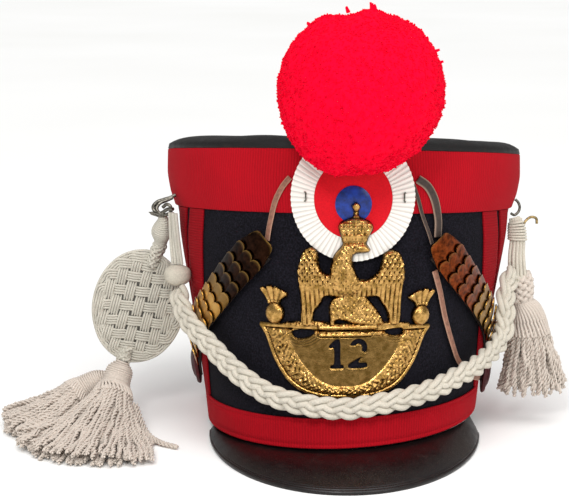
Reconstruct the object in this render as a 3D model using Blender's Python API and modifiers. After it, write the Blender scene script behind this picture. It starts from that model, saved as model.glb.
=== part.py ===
"""A soldier's parade shako: felt body, cloth bands, brass plate, pompom and plaited cords.

Lengths are in metres and +Z is up.  The hat is modelled upright on its own axis, with the front
toward -Y, and then leans back as it does on a table, on the visor's edge and the rear of the rim.
"""
import math

import bmesh
import bpy
from mathutils import Euler, Matrix, Vector

MM = 0.001

# Crown and rim
HEIGHT = 180.25 * MM            # rim to the top edge of the red top band, on the axis
RIM_DEPTH_RATIO = 1.2277        # the rim is a head oval, the crown is round
RIM_RISE_BACK = 0.0685          # slope of the rim plane: the rear of the rim is higher
RIM_RISE_RIGHT = 0.0495         # and its right side is a little higher than its left
TOP_FALL_RIGHT = 0.0261         # the body falls a little to the right towards the crown
CROWN_TURN = 0.0146             # the crown itself less so
CROWN_LEAN_BACK = 0.032         # and its front edge is higher than its back
CROWN_SETTLE = 2.85 * MM        # worn down on the whole
FELT_THICKNESS = 2.5 * MM
FELT_PROFILE = (                # height above the rim, half width across the ears
    (0 * MM, 90.4 * MM),
    (19.6 * MM, 92.6 * MM),
    (60 * MM, 98.8 * MM),
    (100 * MM, 105.8 * MM),
    (126 * MM, 110.8 * MM),
    (142.6 * MM, 113.2 * MM),
    (152 * MM, 116.6 * MM),
    (164 * MM, 118.7 * MM),
    (180.6 * MM, 118.4 * MM),
)
RING_STEPS = 40                 # facets round the hat
SEAM_GAP = 0.4 * MM             # between pieces that lie against each other

# Bands and chevrons of red ribbed cloth
CLOTH_THICKNESS = 1.2 * MM
TAPE_GAP = 0.42 * MM            # under the chevrons' flat facets
TAPE_COLUMNS = 4
TOP_BAND_FOOT = 142.6 * MM
TOP_BAND_TOP = 180.25 * MM
BOTTOM_BAND_FOOT = 1.0 * MM
BOTTOM_BAND_TOP = 19.4 * MM
CHEVRON_FOOT = 19.8 * MM
CHEVRON_TOP = 142.2 * MM
CHEVRON_ROWS = (45 * MM, 60 * MM, 80 * MM, 100 * MM, 126 * MM)
SIDE = 90.0                     # azimuth of each side, in degrees from the front
OUTER_EDGE_TOP, OUTER_EDGE_TURN = 50.5, 142.0     # degrees at the top, degrees per metre
OUTER_INSIDE_TOP, OUTER_INSIDE_TURN = 60.0, 268.0
INNER_EDGE_TOP, INNER_INSIDE_TOP, INNER_TURN = 62.8, 72.5, 268.0

# Crown cap and visor, both leather
CAP_FOOT = 180.8 * MM
CAP_THICKNESS = 1.5 * MM
CAP_PROFILE = (                 # height, radius: up the edge and over the top
    (CAP_FOOT, 120.1 * MM),
    (182.8 * MM, 120.1 * MM),
    (185.0 * MM, 117.2 * MM),
    (187.3 * MM, 112.0 * MM),
    (188.7 * MM, 103.0 * MM),
    (189.2 * MM, 84.0 * MM),
)
VISOR_THICKNESS = 2.4 * MM
VISOR_HALF_WIDTH = 89.5 * MM
VISOR_CENTRE_X = 1.5 * MM
VISOR_CENTRE_Y = -30 * MM
VISOR_LENGTH = 125 * MM         # from that centre to the tip
VISOR_BULGE = 2.5 * MM
VISOR_SWEEP = 87.0              # degrees to each side
VISOR_STEPS = 28
VISOR_TUCK = 2.2 * MM            # how far it reaches in under the felt's edge

# How it stands: the visor's edge and the rear rim lie on the table
REAR_REST = Vector((-50.5 * MM, 94.1 * MM, 3.95 * MM))
VISOR_TIP_DROP = 27.0 * MM      # below the rim plane's origin
FOOTPRINT_SHIFT = Vector((-2.2 * MM, 15.7 * MM))   # centres the hat on its own origin

# Cockade
COCKADE_AZIMUTH = 3.0
COCKADE_HEIGHT = 152.6 * MM
COCKADE_LIFT = 2.6 * MM         # of its back, off the felt: it lies on the band
COCKADE_THICKNESS = 2.0 * MM
COCKADE_RINGS = (               # name, inner radius and drop, outer radius and drop, colour
    ("cockade_white_ring", 23.7 * MM, 1.0 * MM, 37.8 * MM, 0.0, "EDEAE4"),
    ("cockade_red_ring", 11.3 * MM, 4.2 * MM, 23.2 * MM, 1.0 * MM, "C2202B"),
    ("cockade_blue_centre", 0.0, 4.2 * MM, 10.8 * MM, 4.2 * MM, "2A3F86"),
)
COCKADE_STEPS = 28
STAPLE_RADIUS = 0.5 * MM
STAPLE_HALF = 2.6 * MM
STAPLES = (("cockade_staple_left", -28.3 * MM), ("cockade_staple_right", 30.4 * MM))

# Brass plate: offsets across and up from its own centre
PLATE_AZIMUTH = 1.0
PLATE_HEIGHT = 73.0 * MM
PLATE_LIFT = 0.6 * MM
PLATE_STEP = 4.8 * MM           # how far it stands off again where it lies over the cockade
PLATE_STEP_FROM, PLATE_STEP_TO = 86 * MM, 114 * MM
PLATE_THICKNESS = 1.2 * MM
PLATE_SLICE = 14 * MM           # spacing of the bends across the plate
SHIELD_TILT = 0.024             # the shield's right horn sits lower
SHIELD_DROP = 1.3
SHIELD_EDGE = (                 # level, half width: the outline, from the horns down
    (4.2, 56.4), (1.9, 57.4), (-0.8, 54.8), (-4.5, 52.2), (-12.0, 49.2), (-18.0, 46.4),
    (-24.0, 42.4), (-30.0, 37.4), (-35.0, 30.8), (-38.4, 22.0), (-40.2, 11.0),
)
FIELD_EDGE = (                  # level, half width: the plain field inside the leafy border
    (-1.5, 36.0), (-6.0, 35.0), (-11.0, 32.6), (-17.0, 28.6), (-24.0, 22.6), (-30.0, 15.4),
    (-33.0, 7.0),
)
BORDER_RAISE = 0.9 * MM
WINGS = (                       # across, up: both wings with the breast between them
    (-28.7, 39.1), (-26.2, 46.8), (-24.0, 49.6), (-20.7, 50.4), (-18.0, 49.6), (-16.6, 46.8),
    (-15.8, 40.2), (-14.7, 36.9), (-11.9, 34.7), (-4.0, 33.0), (6.0, 31.5), (12.9, 30.9),
    (15.7, 33.1), (19.0, 35.8), (21.2, 42.4), (22.0, 45.7), (23.9, 47.9), (27.2, 48.8),
    (30.5, 48.2), (32.5, 46.8), (35.2, 39.7), (36.0, 33.8), (34.9, 22.6), (34.9, 2.4),
    (27.2, 2.4), (25.6, 11.6), (21.7, 16.5), (19.0, 20.7), (4.0, 19.0), (-9.7, 20.9),
    (-13.3, 20.3), (-14.9, 16.0), (-19.3, 11.6), (-20.2, 2.6), (-27.9, 2.6), (-27.9, 17.1),
    (-29.3, 34.7),
)
TRUNK = (                       # neck, head with its beak, and breast
    (-5.8, 47.9), (-7.5, 45.2), (-8.9, 41.3), (-9.7, 33.6), (-8.6, 24.0), (0.0, 19.6),
    (9.0, 22.0), (10.4, 28.7), (6.3, 34.2), (3.9, 41.3), (4.2, 46.4), (13.4, 47.0),
    (14.6, 49.1), (12.3, 51.8), (11.5, 54.0), (-2.0, 54.0), (-2.3, 51.8),
)
LEGS = (
    (-9.9, 17.1), (-7.5, 20.4), (0.0, 22.0), (12.0, 21.6), (14.0, 19.3), (20.1, 12.1),
    (25.4, 2.6), (10.2, 2.6), (-5.8, 7.4), (-6.3, 2.6), (-9.6, 2.6), (-10.3, 12.7),
)
BAR = (
    (-40.0, 0.9), (-40.4, 5.2), (-15.0, 6.2), (-11.0, 4.9), (18.0, 4.0), (22.0, 4.9),
    (42.0, 3.6), (41.0, 0.2), (22.0, -0.2), (-12.0, 0.4),
)
CROWN = (
    (-5.0, 62.3), (-3.6, 65.4), (1.9, 67.5), (3.8, 68.4), (4.1, 71.6), (2.4, 74.6), (5.6, 77.4),
    (8.6, 74.6), (7.2, 71.6), (7.5, 68.4), (10.1, 67.5), (14.6, 65.4), (16.5, 61.7),
    (12.9, 55.7), (12.1, 52.4), (-2.3, 52.4), (-3.1, 56.2),
)
FLAME = (                       # from the ball's centre; the fan leans outward
    (-4.4, 4.6), (-5.2, 8.4), (-10.2, 14.8), (-7.8, 16.8), (-1.5, 17.2), (4.6, 15.2),
    (9.6, 12.6), (9.2, 10.4), (4.4, 7.6), (4.0, 4.6),
)
GRENADES = (                    # ball's centre across and up, which way the fan leans
    (-45.4, 9.8, 1.0), (49.3, 7.2, -1.0),
)
BALL_RADIUS = 6.6
TEARDROPS = (
    ((-33.3, 0.5), (-18.6, 0.7), (-19.4, -1.8), (-23.4, -4.2), (-29.2, -5.0), (-32.9, -3.6)),
    ((23.4, -0.3), (36.8, 0.6), (36.0, -3.4), (32.0, -4.2), (27.4, -3.0)),
)
DIGIT_TOP = -5.0 * MM
DIGIT_FOOT = -23.0 * MM

# Pompom
POMPOM_CENTRE = Vector((10.2 * MM, -150.0 * MM, 214.8 * MM))
POMPOM_RADIUS = 50.3 * MM
POMPOM_LUMP = 1.3 * MM
POMPOM_SEAT_FOOT = 142.3 * MM   # radius of the cone that clears the cockade, at the rim
POMPOM_SEAT_RADIUS = 124.2 * MM # and at the top of the cockade
POMPOM_SEAT_TOP = 192.0 * MM

# Chinscales
STRAP_WIDTH = 20 * MM
STRAP_THICKNESS = 1.6 * MM
STRAP_LIFT = 2.1 * MM           # clear of the chevrons
SCALE_COUNT = 12
SCALE_WIDTH = 22 * MM
SCALE_OVERLAP = 4.2 * MM
SCALE_THICKNESS = 0.7 * MM
SCALE_CLEAR = 0.55 * MM
LOBES = 3
LOBE_DEPTH = 2.2 * MM
BOSS_RADIUS = 13.5 * MM
BOSS_HEIGHT = 5.0 * MM
STRAP_ROUTES = {                # azimuth, height: from the boss to the tied-up end
    "left": ((-86.0, 36 * MM), (-77.0, 50 * MM), (-66.0, 65 * MM), (-57.7, 75 * MM),
             (-48.5, 86 * MM), (-41.0, 97 * MM), (-32.5, 111 * MM), (-25.6, 122.5 * MM)),
    "right": ((87.0, 24 * MM), (80.0, 44 * MM), (70.0, 62.5 * MM), (57.6, 78.5 * MM),
              (47.9, 92 * MM), (39.4, 106 * MM), (31.4, 121.5 * MM)),
}
BOSS_PLACES = {"left": (-88.0, 35 * MM), "right": (88.0, 22 * MM)}

# Leather laces: width, then azimuth and height along each one
LACE_THICKNESS = 1.4 * MM
LACE_LIFT = 2.1 * MM
LACES = {
    "lace_left": (3.6 * MM, ((-15.6, 164.0 * MM), (-17.2, 156 * MM), (-19.8, 145 * MM),
                             (-22.6, 134.6 * MM))),
    "lace_right_arch": (5.5 * MM, ((22.0, 163.5 * MM), (25.5, 158.5 * MM), (28.3, 149 * MM),
                                   (29.8, 139 * MM), (30.8, 134.2 * MM))),
    "lace_right_thin": (2.0 * MM, ((21.9, 152 * MM), (23.3, 144 * MM), (25.3, 135.5 * MM),
                                   (26.8, 128 * MM))),
    "lace_long": (4.2 * MM, ((29.6, 107.3 * MM), (32.2, 94.7 * MM), (35.6, 76.2 * MM),
                             (40.7, 57.4 * MM), (45.8, 44.6 * MM), (56.0, 32.5 * MM),
                             (70.0, 25.5 * MM))),
}

# Cords: the plait's route is in the hat's own frame (x, y, z)
PLAIT_RADIUS = 6.4 * MM
CORD_RADIUS = 1.9 * MM
HOOK_RADIUS = 1.0 * MM
PLAIT_ROUTE = (
    (-109.0, -44.0, 85.2), (-107.6, -49.7, 79.0), (-103.0, -59.0, 69.5), (-96.0, -69.2, 62.5),
    (-84.6, -79.5, 53.0), (-72.6, -91.5, 43.0), (-58.6, -103.0, 33.6), (-45.6, -111.5, 27.2),
    (-32.6, -117.5, 23.9), (-20.0, -121.5, 21.9), (-7.6, -123.3, 20.8), (4.0, -123.5, 20.6),
    (17.3, -121.8, 22.3), (36.1, -115.5, 25.2), (48.8, -109.0, 27.9), (62.2, -99.5, 31.6),
    (75.8, -86.0, 36.8), (84.6, -77.0, 40.0),
    (92.3, -66.4, 44.0), (101.1, -51.8, 50.1), (107.1, -41.2, 57.5), (108.7, -38.4, 66.5),
    (108.6, -38.2, 77.2), (109.6, -34.4, 86.2), (111.4, -30.6, 92.6),
)
LEFT_CORDS = {                  # these, the slide and the hooks are in the table's frame
    "cord_left_rear": ((-113.8, -29.5, 150.2), (-113.3, -29.5, 132.0), (-112.2, -30.0, 115.2)),
    "cord_left_front": ((-111.2, -33.4, 150.2), (-109.7, -32.2, 132.0), (-107.9, -30.8, 115.2)),
}
SLIDE_CENTRE = Vector((-109.9, -31.0, 108.0)) * MM
SLIDE_HALF = Vector((9.0, 8.4, 6.7)) * MM
HOOKS = {
    "side_hook_left": ((-111.8, -20.0, 160.2), (-115.0, -21.0, 158.6), (-119.4, -22.0, 157.4),
                       (-123.8, -22.6, 155.8), (-126.4, -23.4, 152.6), (-124.8, -24.4, 149.6),
                       (-120.8, -26.2, 149.0), (-116.4, -28.4, 151.9), (-112.2, -31.4, 152.7)),
    "side_hook_right": ((115.7, -3.6, 155.9), (117.8, -4.2, 153.8), (118.8, -4.8, 150.6),
                        (117.8, -5.4, 147.4), (115.2, -6.2, 145.6), (112.8, -7.0, 146.8)),
    "cord_hook_right": ((121.4, -6.4, 138.6), (123.0, -5.6, 141.6), (126.4, -5.0, 144.0),
                        (129.9, -5.0, 143.2), (130.6, -5.0, 139.6)),
}
BUNDLE_PATH = (                 # centre, half width, half depth: the doubled cords on the right
    ((115.1, -6.9, 144.0), 2.6, 2.4),
    ((117.5, -8.0, 138.4), 3.8, 3.0),
    ((118.4, -10.0, 128.6), 4.2, 3.4),
    ((116.9, -12.0, 118.6), 5.2, 3.6),
    ((114.4, -13.6, 109.4), 6.4, 3.8),
)

# Raquette and tassels: paths in the table's frame, as (centre, half width, half depth)
RAQUETTE_CENTRE = Vector((-138.7, -13.5, 82.2)) * MM
RAQUETTE_HALF = Vector((31.6, 4.2, 40.0)) * MM
RAQUETTE_LEAN = 12.0            # degrees
KNOB_PATH = (
    ((-120.2, -25.9, 147.3), 1.8, 1.8),
    ((-119.8, -22.4, 142.0), 4.6, 4.4),
    ((-121.4, -19.0, 135.0), 6.9, 6.6),
    ((-122.4, -16.6, 127.8), 4.4, 4.2),
    ((-124.8, -14.6, 121.0), 6.6, 3.6),
    ((-128.0, -13.6, 111.0), 6.0, 3.0),
)
NECK_PATH = (
    ((-145.6, -13.5, 54.0), 5.4, 3.0),
    ((-148.3, -13.7, 48.6), 4.8, 3.8),
    ((-149.8, -15.3, 44.2), 4.9, 4.4),
)
TASSEL_LOBES = 12
LOCK_DEPTH = 0.14               # grooves between the locks, as a share of the radius
TASSELS = {
    "tassel_left_front": (
        ((-150.0, -15.5, 43.5), 4.7, 4.4),
        ((-151.6, -17.4, 38.5), 9.2, 8.6),
        ((-153.8, -21.0, 31.0), 9.8, 9.4),
        ((-155.4, -26.5, 24.8), 13.4, 10.8),
        ((-156.8, -40.0, 16.5), 18.5, 10.0),
        ((-157.0, -62.0, 10.0), 25.5, 7.6),
        ((-156.4, -82.0, 6.8), 30.5, 6.2),
        ((-155.8, -98.0, 5.0), 33.0, 4.8),
    ),
    "tassel_left_rear": (
        ((-163.6, -11.5, 35.2), 4.0, 4.4),
        ((-169.0, -12.2, 31.4), 8.4, 8.4),
        ((-176.8, -14.6, 26.0), 9.8, 9.2),
        ((-183.6, -18.0, 20.4), 14.0, 10.4),
        ((-195.0, -25.0, 13.4), 23.5, 9.0),
        ((-207.0, -34.6, 8.6), 33.0, 7.0),
        ((-218.0, -43.6, 5.6), 40.0, 5.2),
    ),
    "tassel_right": (
        ((121.9, -9.3, 115.0), 2.2, 2.2),
        ((122.0, -6.4, 106.0), 3.2, 3.2),
        ((123.5, -4.0, 95.5), 5.4, 5.2),
        ((125.2, -3.0, 87.5), 4.6, 4.6),
        ((130.2, -3.0, 78.6), 7.6, 7.2),
        ((131.4, -3.0, 71.4), 8.8, 8.4),
        ((130.2, -3.0, 65.2), 9.6, 9.2),
        ((130.4, -3.0, 56.0), 14.0, 11.4),
        ((130.6, -3.0, 38.0), 20.0, 12.8),
        ((130.6, -3.0, 22.0), 24.2, 13.4),
    ),
}
TASSEL_HEAD_SECTIONS = {"tassel_left_front": 3, "tassel_left_rear": 3, "tassel_right": 7}
TABLE_CLEAR = 0.25 * MM


# ---------------------------------------------------------------- scene and materials

def clear_scene():
    for item in list(bpy.data.objects):
        bpy.data.objects.remove(item, do_unlink=True)


def new_collection(name):
    group = bpy.data.collections.new(name)
    bpy.context.scene.collection.children.link(group)
    return group


def linear(hex_colour):
    """sRGB hex to linear RGBA."""
    channels = []
    for start in (0, 2, 4):
        value = int(hex_colour[start:start + 2], 16) / 255.0
        channels.append(value / 12.92 if value <= 0.04045 else ((value + 0.055) / 1.055) ** 2.4)
    return (*channels, 1.0)


def make_material(name, hex_colour, roughness, metallic=0.0):
    surface = bpy.data.materials.new(name)
    surface.use_nodes = True
    shader = surface.node_tree.nodes["Principled BSDF"]
    shader.inputs["Base Color"].default_value = linear(hex_colour)
    shader.inputs["Roughness"].default_value = roughness
    shader.inputs["Metallic"].default_value = metallic
    surface.diffuse_color = linear(hex_colour)
    return surface


# ---------------------------------------------------------------- the hat's surface

def interpolate(table, at):
    """Second column of a table at a value of its first one."""
    if at <= table[0][0]:
        return table[0][1]
    for (low, first), (high, second) in zip(table, table[1:]):
        if at <= high:
            return first + (second - first) * (at - low) / (high - low)
    return table[-1][1]


def upward(height):
    """0 at the rim, 1 at the crown."""
    return min(max(height / HEIGHT, 0.0), 1.0)


def half_widths(height):
    across = interpolate(FELT_PROFILE, height)
    share = upward(height)
    return across, across * (RIM_DEPTH_RATIO * (1.0 - share) + share)


def raised(x, y, height):
    """Height of a point once the rim's and the crown's slopes are in."""
    share = upward(height)
    rim = RIM_RISE_BACK * y + RIM_RISE_RIGHT * x
    crown = CROWN_TURN * x - CROWN_LEAN_BACK * y - CROWN_SETTLE
    return height + (1.0 - share) * rim - share * TOP_FALL_RIGHT * x + share ** 3 * crown


def on_hat(azimuth, height, lift=0.0):
    """A point on the felt, or that far outside it.  Azimuth 0 is the front, 90 the right side."""
    across, deep = half_widths(height)
    across += lift
    deep += lift
    turn = math.radians(azimuth)
    radius = across * deep / math.hypot(deep * math.sin(turn), across * math.cos(turn))
    x = radius * math.sin(turn)
    y = -radius * math.cos(turn)
    return Vector((x, y, raised(x, y, height)))


def outward(azimuth, height):
    """Unit vector that points straight off the felt."""
    step = 1.0
    rise = 1.0 * MM
    along = on_hat(azimuth + step, height) - on_hat(azimuth - step, height)
    up = on_hat(azimuth, height + rise) - on_hat(azimuth, height - rise)
    return along.cross(up).normalized()


def wrap(across, up, lift, azimuth, height):
    """Lay a flat drawing's point on the hat, centred at an azimuth and a height."""
    level = height + up
    reach = on_hat(azimuth, level).xy.length
    return on_hat(azimuth + math.degrees(across / reach), level, lift)


# ---------------------------------------------------------------- shape helpers

def link(name, mesh, surface, group, parent):
    item = bpy.data.objects.new(name, mesh)
    mesh.materials.append(surface)
    group.objects.link(item)
    item.parent = parent
    return item


def smooth(mesh, angle=35.0):
    mesh.shade_smooth()
    mesh.set_sharp_from_angle(angle=math.radians(angle))


def grid_mesh(name, rows, ring=False, cap_first=False, cap_last=False):
    """Mesh through rows of points, closed round when ring is set."""
    shape = bmesh.new()
    verts = [[shape.verts.new(point) for point in row] for row in rows]
    columns = len(rows[0])
    spans = columns if ring else columns - 1
    for below, above in zip(verts, verts[1:]):
        for i in range(spans):
            j = (i + 1) % columns
            shape.faces.new((below[i], below[j], above[j], above[i]))
    if cap_first:
        shape.faces.new(list(reversed(verts[0])))
    if cap_last:
        shape.faces.new(verts[-1])
    mesh = bpy.data.meshes.new(name)
    shape.to_mesh(mesh)
    shape.free()
    return mesh


def thicken(item, thickness):
    """Give an outer surface its thickness, inward."""
    solid = item.modifiers.new("thickness", 'SOLIDIFY')
    solid.thickness = thickness
    solid.offset = -1.0
    return item


def ring_rows(heights, lift):
    rows = []
    for height in heights:
        rows.append([on_hat(360.0 * i / RING_STEPS, height, lift) for i in range(RING_STEPS)])
    return rows


def smooth_path(points, samples):
    """Points of a Catmull-Rom curve through hand-set points, evenly spread along it."""
    points = [Vector(point) for point in points]
    first = points[0] * 2 - points[1]
    last = points[-1] * 2 - points[-2]
    padded = [first] + points + [last]
    fine = []
    for a, b, c, d in zip(padded, padded[1:], padded[2:], padded[3:]):
        for step in range(12):
            t = step / 12.0
            fine.append(0.5 * ((b * 2) + (c - a) * t + (a * 2 - b * 5 + c * 4 - d) * t * t
                               + (b * 3 - a - c * 3 + d) * t ** 3))
    fine.append(points[-1])
    return resample(fine, samples)


def resample(points, samples):
    lengths = [0.0]
    for start, end in zip(points, points[1:]):
        lengths.append(lengths[-1] + (end - start).length)
    result = []
    k = 0
    for i in range(samples):
        want = lengths[-1] * i / (samples - 1)
        while k < len(points) - 2 and lengths[k + 1] < want:
            k += 1
        span = lengths[k + 1] - lengths[k]
        result.append(points[k].lerp(points[k + 1], (want - lengths[k]) / span))
    return result


def tube(name, route, radius, surface, group, parent, samples, resolution=2):
    """A round cord or wire along a smooth curve through the route."""
    curve = bpy.data.curves.new(name, 'CURVE')
    curve.dimensions = '3D'
    curve.bevel_depth = radius
    curve.bevel_resolution = resolution
    curve.use_fill_caps = True
    points = smooth_path([Vector(point) * MM for point in route], samples)
    spline = curve.splines.new('POLY')
    spline.points.add(len(points) - 1)
    for slot, point in zip(spline.points, points):
        slot.co = (*point, 1.0)
    item = bpy.data.objects.new(name, curve)
    curve.materials.append(surface)
    group.objects.link(item)
    item.parent = parent
    return item


def ribbon_stations(route, samples):
    """Centres along a route of azimuths and heights, with the unrolled direction at each."""
    metres_per_degree = math.radians(1.0) * on_hat(route[len(route) // 2][0], 90 * MM).xy.length
    flat = [Vector((azimuth * metres_per_degree, height, 0.0)) for azimuth, height in route]
    points = smooth_path(flat, samples)
    stations = []
    for i, point in enumerate(points):
        ahead = points[min(i + 1, samples - 1)] - points[max(i - 1, 0)]
        stations.append((point, ahead.normalized()))
    return stations, metres_per_degree


def ribbon_point(station, sideways, lift, metres_per_degree):
    point, ahead = station
    azimuth = (point.x + ahead.y * sideways) / metres_per_degree
    return on_hat(azimuth, point.y - ahead.x * sideways, lift)


def ribbon(name, route, width, lift, thickness, surface, group, parent, samples=9):
    """A flat strap laid along the hat."""
    shares = (0.5, 0.0, -0.5) if width > 12 * MM else (0.5, -0.5)
    stations, scale = ribbon_stations(route, samples)
    rows = []
    for station in stations:
        rows.append([ribbon_point(station, width * share, lift + thickness, scale)
                     for share in shares])
    item = link(name, grid_mesh(name, rows), surface, group, parent)
    flip_if_inward(item)
    return thicken(item, thickness)


def flip_if_inward(item):
    """Turn an open sheet's faces off the hat's axis."""
    mesh = item.data
    total = sum(face.normal.dot(Vector((face.center.x, face.center.y, 0.0)))
                for face in mesh.polygons)
    if total < 0.0:
        mesh.flip_normals()


def lobed_loft(name, path, lobes, lobe_from, group, parent, surface, floor=None):
    """A soft tapering form along a path of (centre, half width, half depth), lobed lengthwise."""
    steps = lobes * 2
    centres = [Vector(centre) * MM for centre, _, _ in path]
    rows = []
    for i, (_, wide, deep) in enumerate(path):
        ahead = (centres[min(i + 1, len(path) - 1)] - centres[max(i - 1, 0)]).normalized()
        side = ahead.cross(Vector((0.0, 0.0, 1.0)))
        if side.length < 0.35:
            side = Vector((1.0, 0.0, 0.0))
        side.normalize()
        other = side.cross(ahead).normalized()
        row = []
        for step in range(steps):
            turn = 2.0 * math.pi * step / steps
            depth = LOCK_DEPTH if i >= lobe_from else 0.0
            swell = 1.0 - depth * (step % 2)
            point = (centres[i] + side * (wide * MM * swell * math.cos(turn))
                     + other * (deep * MM * swell * math.sin(turn)))
            if floor is not None and point.z < floor:
                point.z = floor
            row.append(point)
        rows.append(row)
    mesh = grid_mesh(name, rows, ring=True, cap_first=True, cap_last=True)
    smooth(mesh, 50.0)
    item = link(name, mesh, surface, group, parent)
    make_outward(item.data)
    return item


def make_outward(mesh):
    """Point every face of a closed mesh out."""
    shape = bmesh.new()
    shape.from_mesh(mesh)
    bmesh.ops.recalc_face_normals(shape, faces=shape.faces)
    shape.to_mesh(mesh)
    shape.free()


# ---------------------------------------------------------------- hat

def build_body(surfaces, group, stand):
    heights = [height for height, _ in FELT_PROFILE]
    mesh = grid_mesh("body_shell", ring_rows(heights, 0.0), ring=True)
    smooth(mesh)
    thicken(link("body_shell", mesh, surfaces["felt"], group, stand), FELT_THICKNESS)


def build_band(name, foot, top, surfaces, group, stand):
    inner = [height for height, _ in FELT_PROFILE if foot + 1 * MM < height < top - 1 * MM]
    heights = [foot] + inner + [top]
    mesh = grid_mesh(name, ring_rows(heights, SEAM_GAP + CLOTH_THICKNESS), ring=True)
    smooth(mesh)
    thicken(link(name, mesh, surfaces["red cloth"], group, stand), CLOTH_THICKNESS)


def build_cap(surfaces, group, stand):
    rows = []
    for height, radius in CAP_PROFILE:
        row = []
        for i in range(RING_STEPS):
            turn = 2.0 * math.pi * i / RING_STEPS
            x = radius * math.sin(turn)
            y = -radius * math.cos(turn)
            row.append(Vector((x, y, raised(x, y, height))))
        rows.append(row)
    mesh = grid_mesh("crown_top", rows, ring=True, cap_last=True)
    smooth(mesh)
    thicken(link("crown_top", mesh, surfaces["black leather"], group, stand), CAP_THICKNESS)


def chevron_edge(start, turn, height):
    return min(start + turn * (CHEVRON_TOP - height), SIDE)


def build_chevron(name, side, edge, inside, surfaces, group, stand):
    """A V of tape: edge and inside are each (degrees at the top, degrees per metre down)."""
    lift = TAPE_GAP + CLOTH_THICKNESS
    joins = CHEVRON_TOP - (SIDE - inside[0]) / inside[1]
    point = CHEVRON_TOP - (SIDE - edge[0]) / edge[1]
    foot = max(CHEVRON_FOOT, point)
    heights = [h for h in CHEVRON_ROWS if foot + 3 * MM < h]
    heights += [foot, CHEVRON_TOP] + ([joins] if joins > foot else [])
    shape = bmesh.new()
    for mirror in (1, -1):
        rows = []
        for height in sorted(heights):
            out = chevron_edge(*edge, height)
            into = chevron_edge(*inside, height)
            row = []
            for k in range(TAPE_COLUMNS + 1):
                azimuth = SIDE - mirror * (SIDE - (out + (into - out) * k / TAPE_COLUMNS))
                row.append(shape.verts.new(on_hat(side * azimuth, height, lift)))
            rows.append(row)
        for below, above in zip(rows, rows[1:]):
            for k in range(TAPE_COLUMNS):
                shape.faces.new((below[k], below[k + 1], above[k + 1], above[k]))
    bmesh.ops.remove_doubles(shape, verts=shape.verts, dist=0.02 * MM)
    bmesh.ops.dissolve_degenerate(shape, edges=shape.edges, dist=0.02 * MM)
    bmesh.ops.recalc_face_normals(shape, faces=shape.faces)
    mesh = bpy.data.meshes.new(name)
    shape.to_mesh(mesh)
    shape.free()
    item = link(name, mesh, surfaces["red cloth"], group, stand)
    flip_if_inward(item)
    thicken(item, CLOTH_THICKNESS)


def table_height(y):
    """Height of the table under the hat's upright frame."""
    tip_y = VISOR_CENTRE_Y - VISOR_LENGTH
    slope = (REAR_REST.z + VISOR_TIP_DROP) / (REAR_REST.y - tip_y)
    return REAR_REST.z + slope * (y - REAR_REST.y)


def table_angle():
    tip_y = VISOR_CENTRE_Y - VISOR_LENGTH
    return math.atan2(REAR_REST.z + VISOR_TIP_DROP, REAR_REST.y - tip_y)


def build_visor(surfaces, group, stand):
    """Underside from the rim out to an edge that lies on the table, thickened upward."""
    across, deep = half_widths(0.0)
    shares = (0.0, 0.25, 0.5, 0.75, 0.92, 1.0)
    rows = []
    for share in shares:
        row = []
        for i in range(VISOR_STEPS + 1):
            sweep = math.radians(VISOR_SWEEP * (2.0 * i / VISOR_STEPS - 1.0))
            near = 0.85 * sweep
            rim_x = (across - VISOR_TUCK) * math.sin(near)
            rim_y = -(deep - VISOR_TUCK) * math.cos(near)
            rim = Vector((rim_x, rim_y, raised(rim_x, rim_y, 0.0) - VISOR_THICKNESS - SEAM_GAP))
            edge_x = VISOR_CENTRE_X + VISOR_HALF_WIDTH * math.sin(sweep)
            edge_y = VISOR_CENTRE_Y - VISOR_LENGTH * math.cos(sweep)
            edge = Vector((edge_x, edge_y, table_height(edge_y)))
            rim.z = max(rim.z, edge.z)
            point = rim.lerp(edge, share)
            point.z += VISOR_BULGE * math.cos(sweep) * 4.0 * share * (1.0 - share)
            row.append(point)
        rows.append(row)
    mesh = grid_mesh("visor", rows)
    if sum(face.normal.z for face in mesh.polygons) > 0.0:
        mesh.flip_normals()
    smooth(mesh)
    thicken(link("visor", mesh, surfaces["black leather"], group, stand), VISOR_THICKNESS)


# ---------------------------------------------------------------- cockade and plate

def build_cockade(surfaces, group, stand):
    for name, inner, inner_drop, outer, outer_drop, _ in COCKADE_RINGS:
        rows = []
        for radius, drop in ((outer, outer_drop), (inner or outer * 0.4, inner_drop)):
            row = []
            for i in range(COCKADE_STEPS):
                turn = 2.0 * math.pi * i / COCKADE_STEPS
                row.append(wrap(radius * math.cos(turn), radius * math.sin(turn) - drop,
                                COCKADE_LIFT + COCKADE_THICKNESS,
                                COCKADE_AZIMUTH, COCKADE_HEIGHT))
            rows.append(row)
        mesh = grid_mesh(name, rows, ring=True, cap_last=not inner)
        smooth(mesh)
        item = link(name, mesh, surfaces[name], group, stand)
        flip_if_inward(item)
        thicken(item, COCKADE_THICKNESS)
    for name, across in STAPLES:
        lift = COCKADE_LIFT + COCKADE_THICKNESS + STAPLE_RADIUS + SEAM_GAP
        route = []
        for side, up in ((1.2, 1.0), (0.0, 0.9), (0.0, -0.9), (1.2, -1.0)):
            outward_side = math.copysign(side, across) * MM
            route.append(wrap(across + outward_side, STAPLE_HALF * up, lift,
                              COCKADE_AZIMUTH, COCKADE_HEIGHT) / MM)
        tube(name, route, STAPLE_RADIUS, surfaces["dark metal"], group, stand, 7)


def arc(centre, radius, start, end, steps):
    """Points on an arc, angles in degrees."""
    points = []
    for i in range(steps + 1):
        turn = math.radians(start + (end - start) * i / steps)
        points.append((centre[0] + radius * math.cos(turn), centre[1] + radius * math.sin(turn)))
    return points


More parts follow.
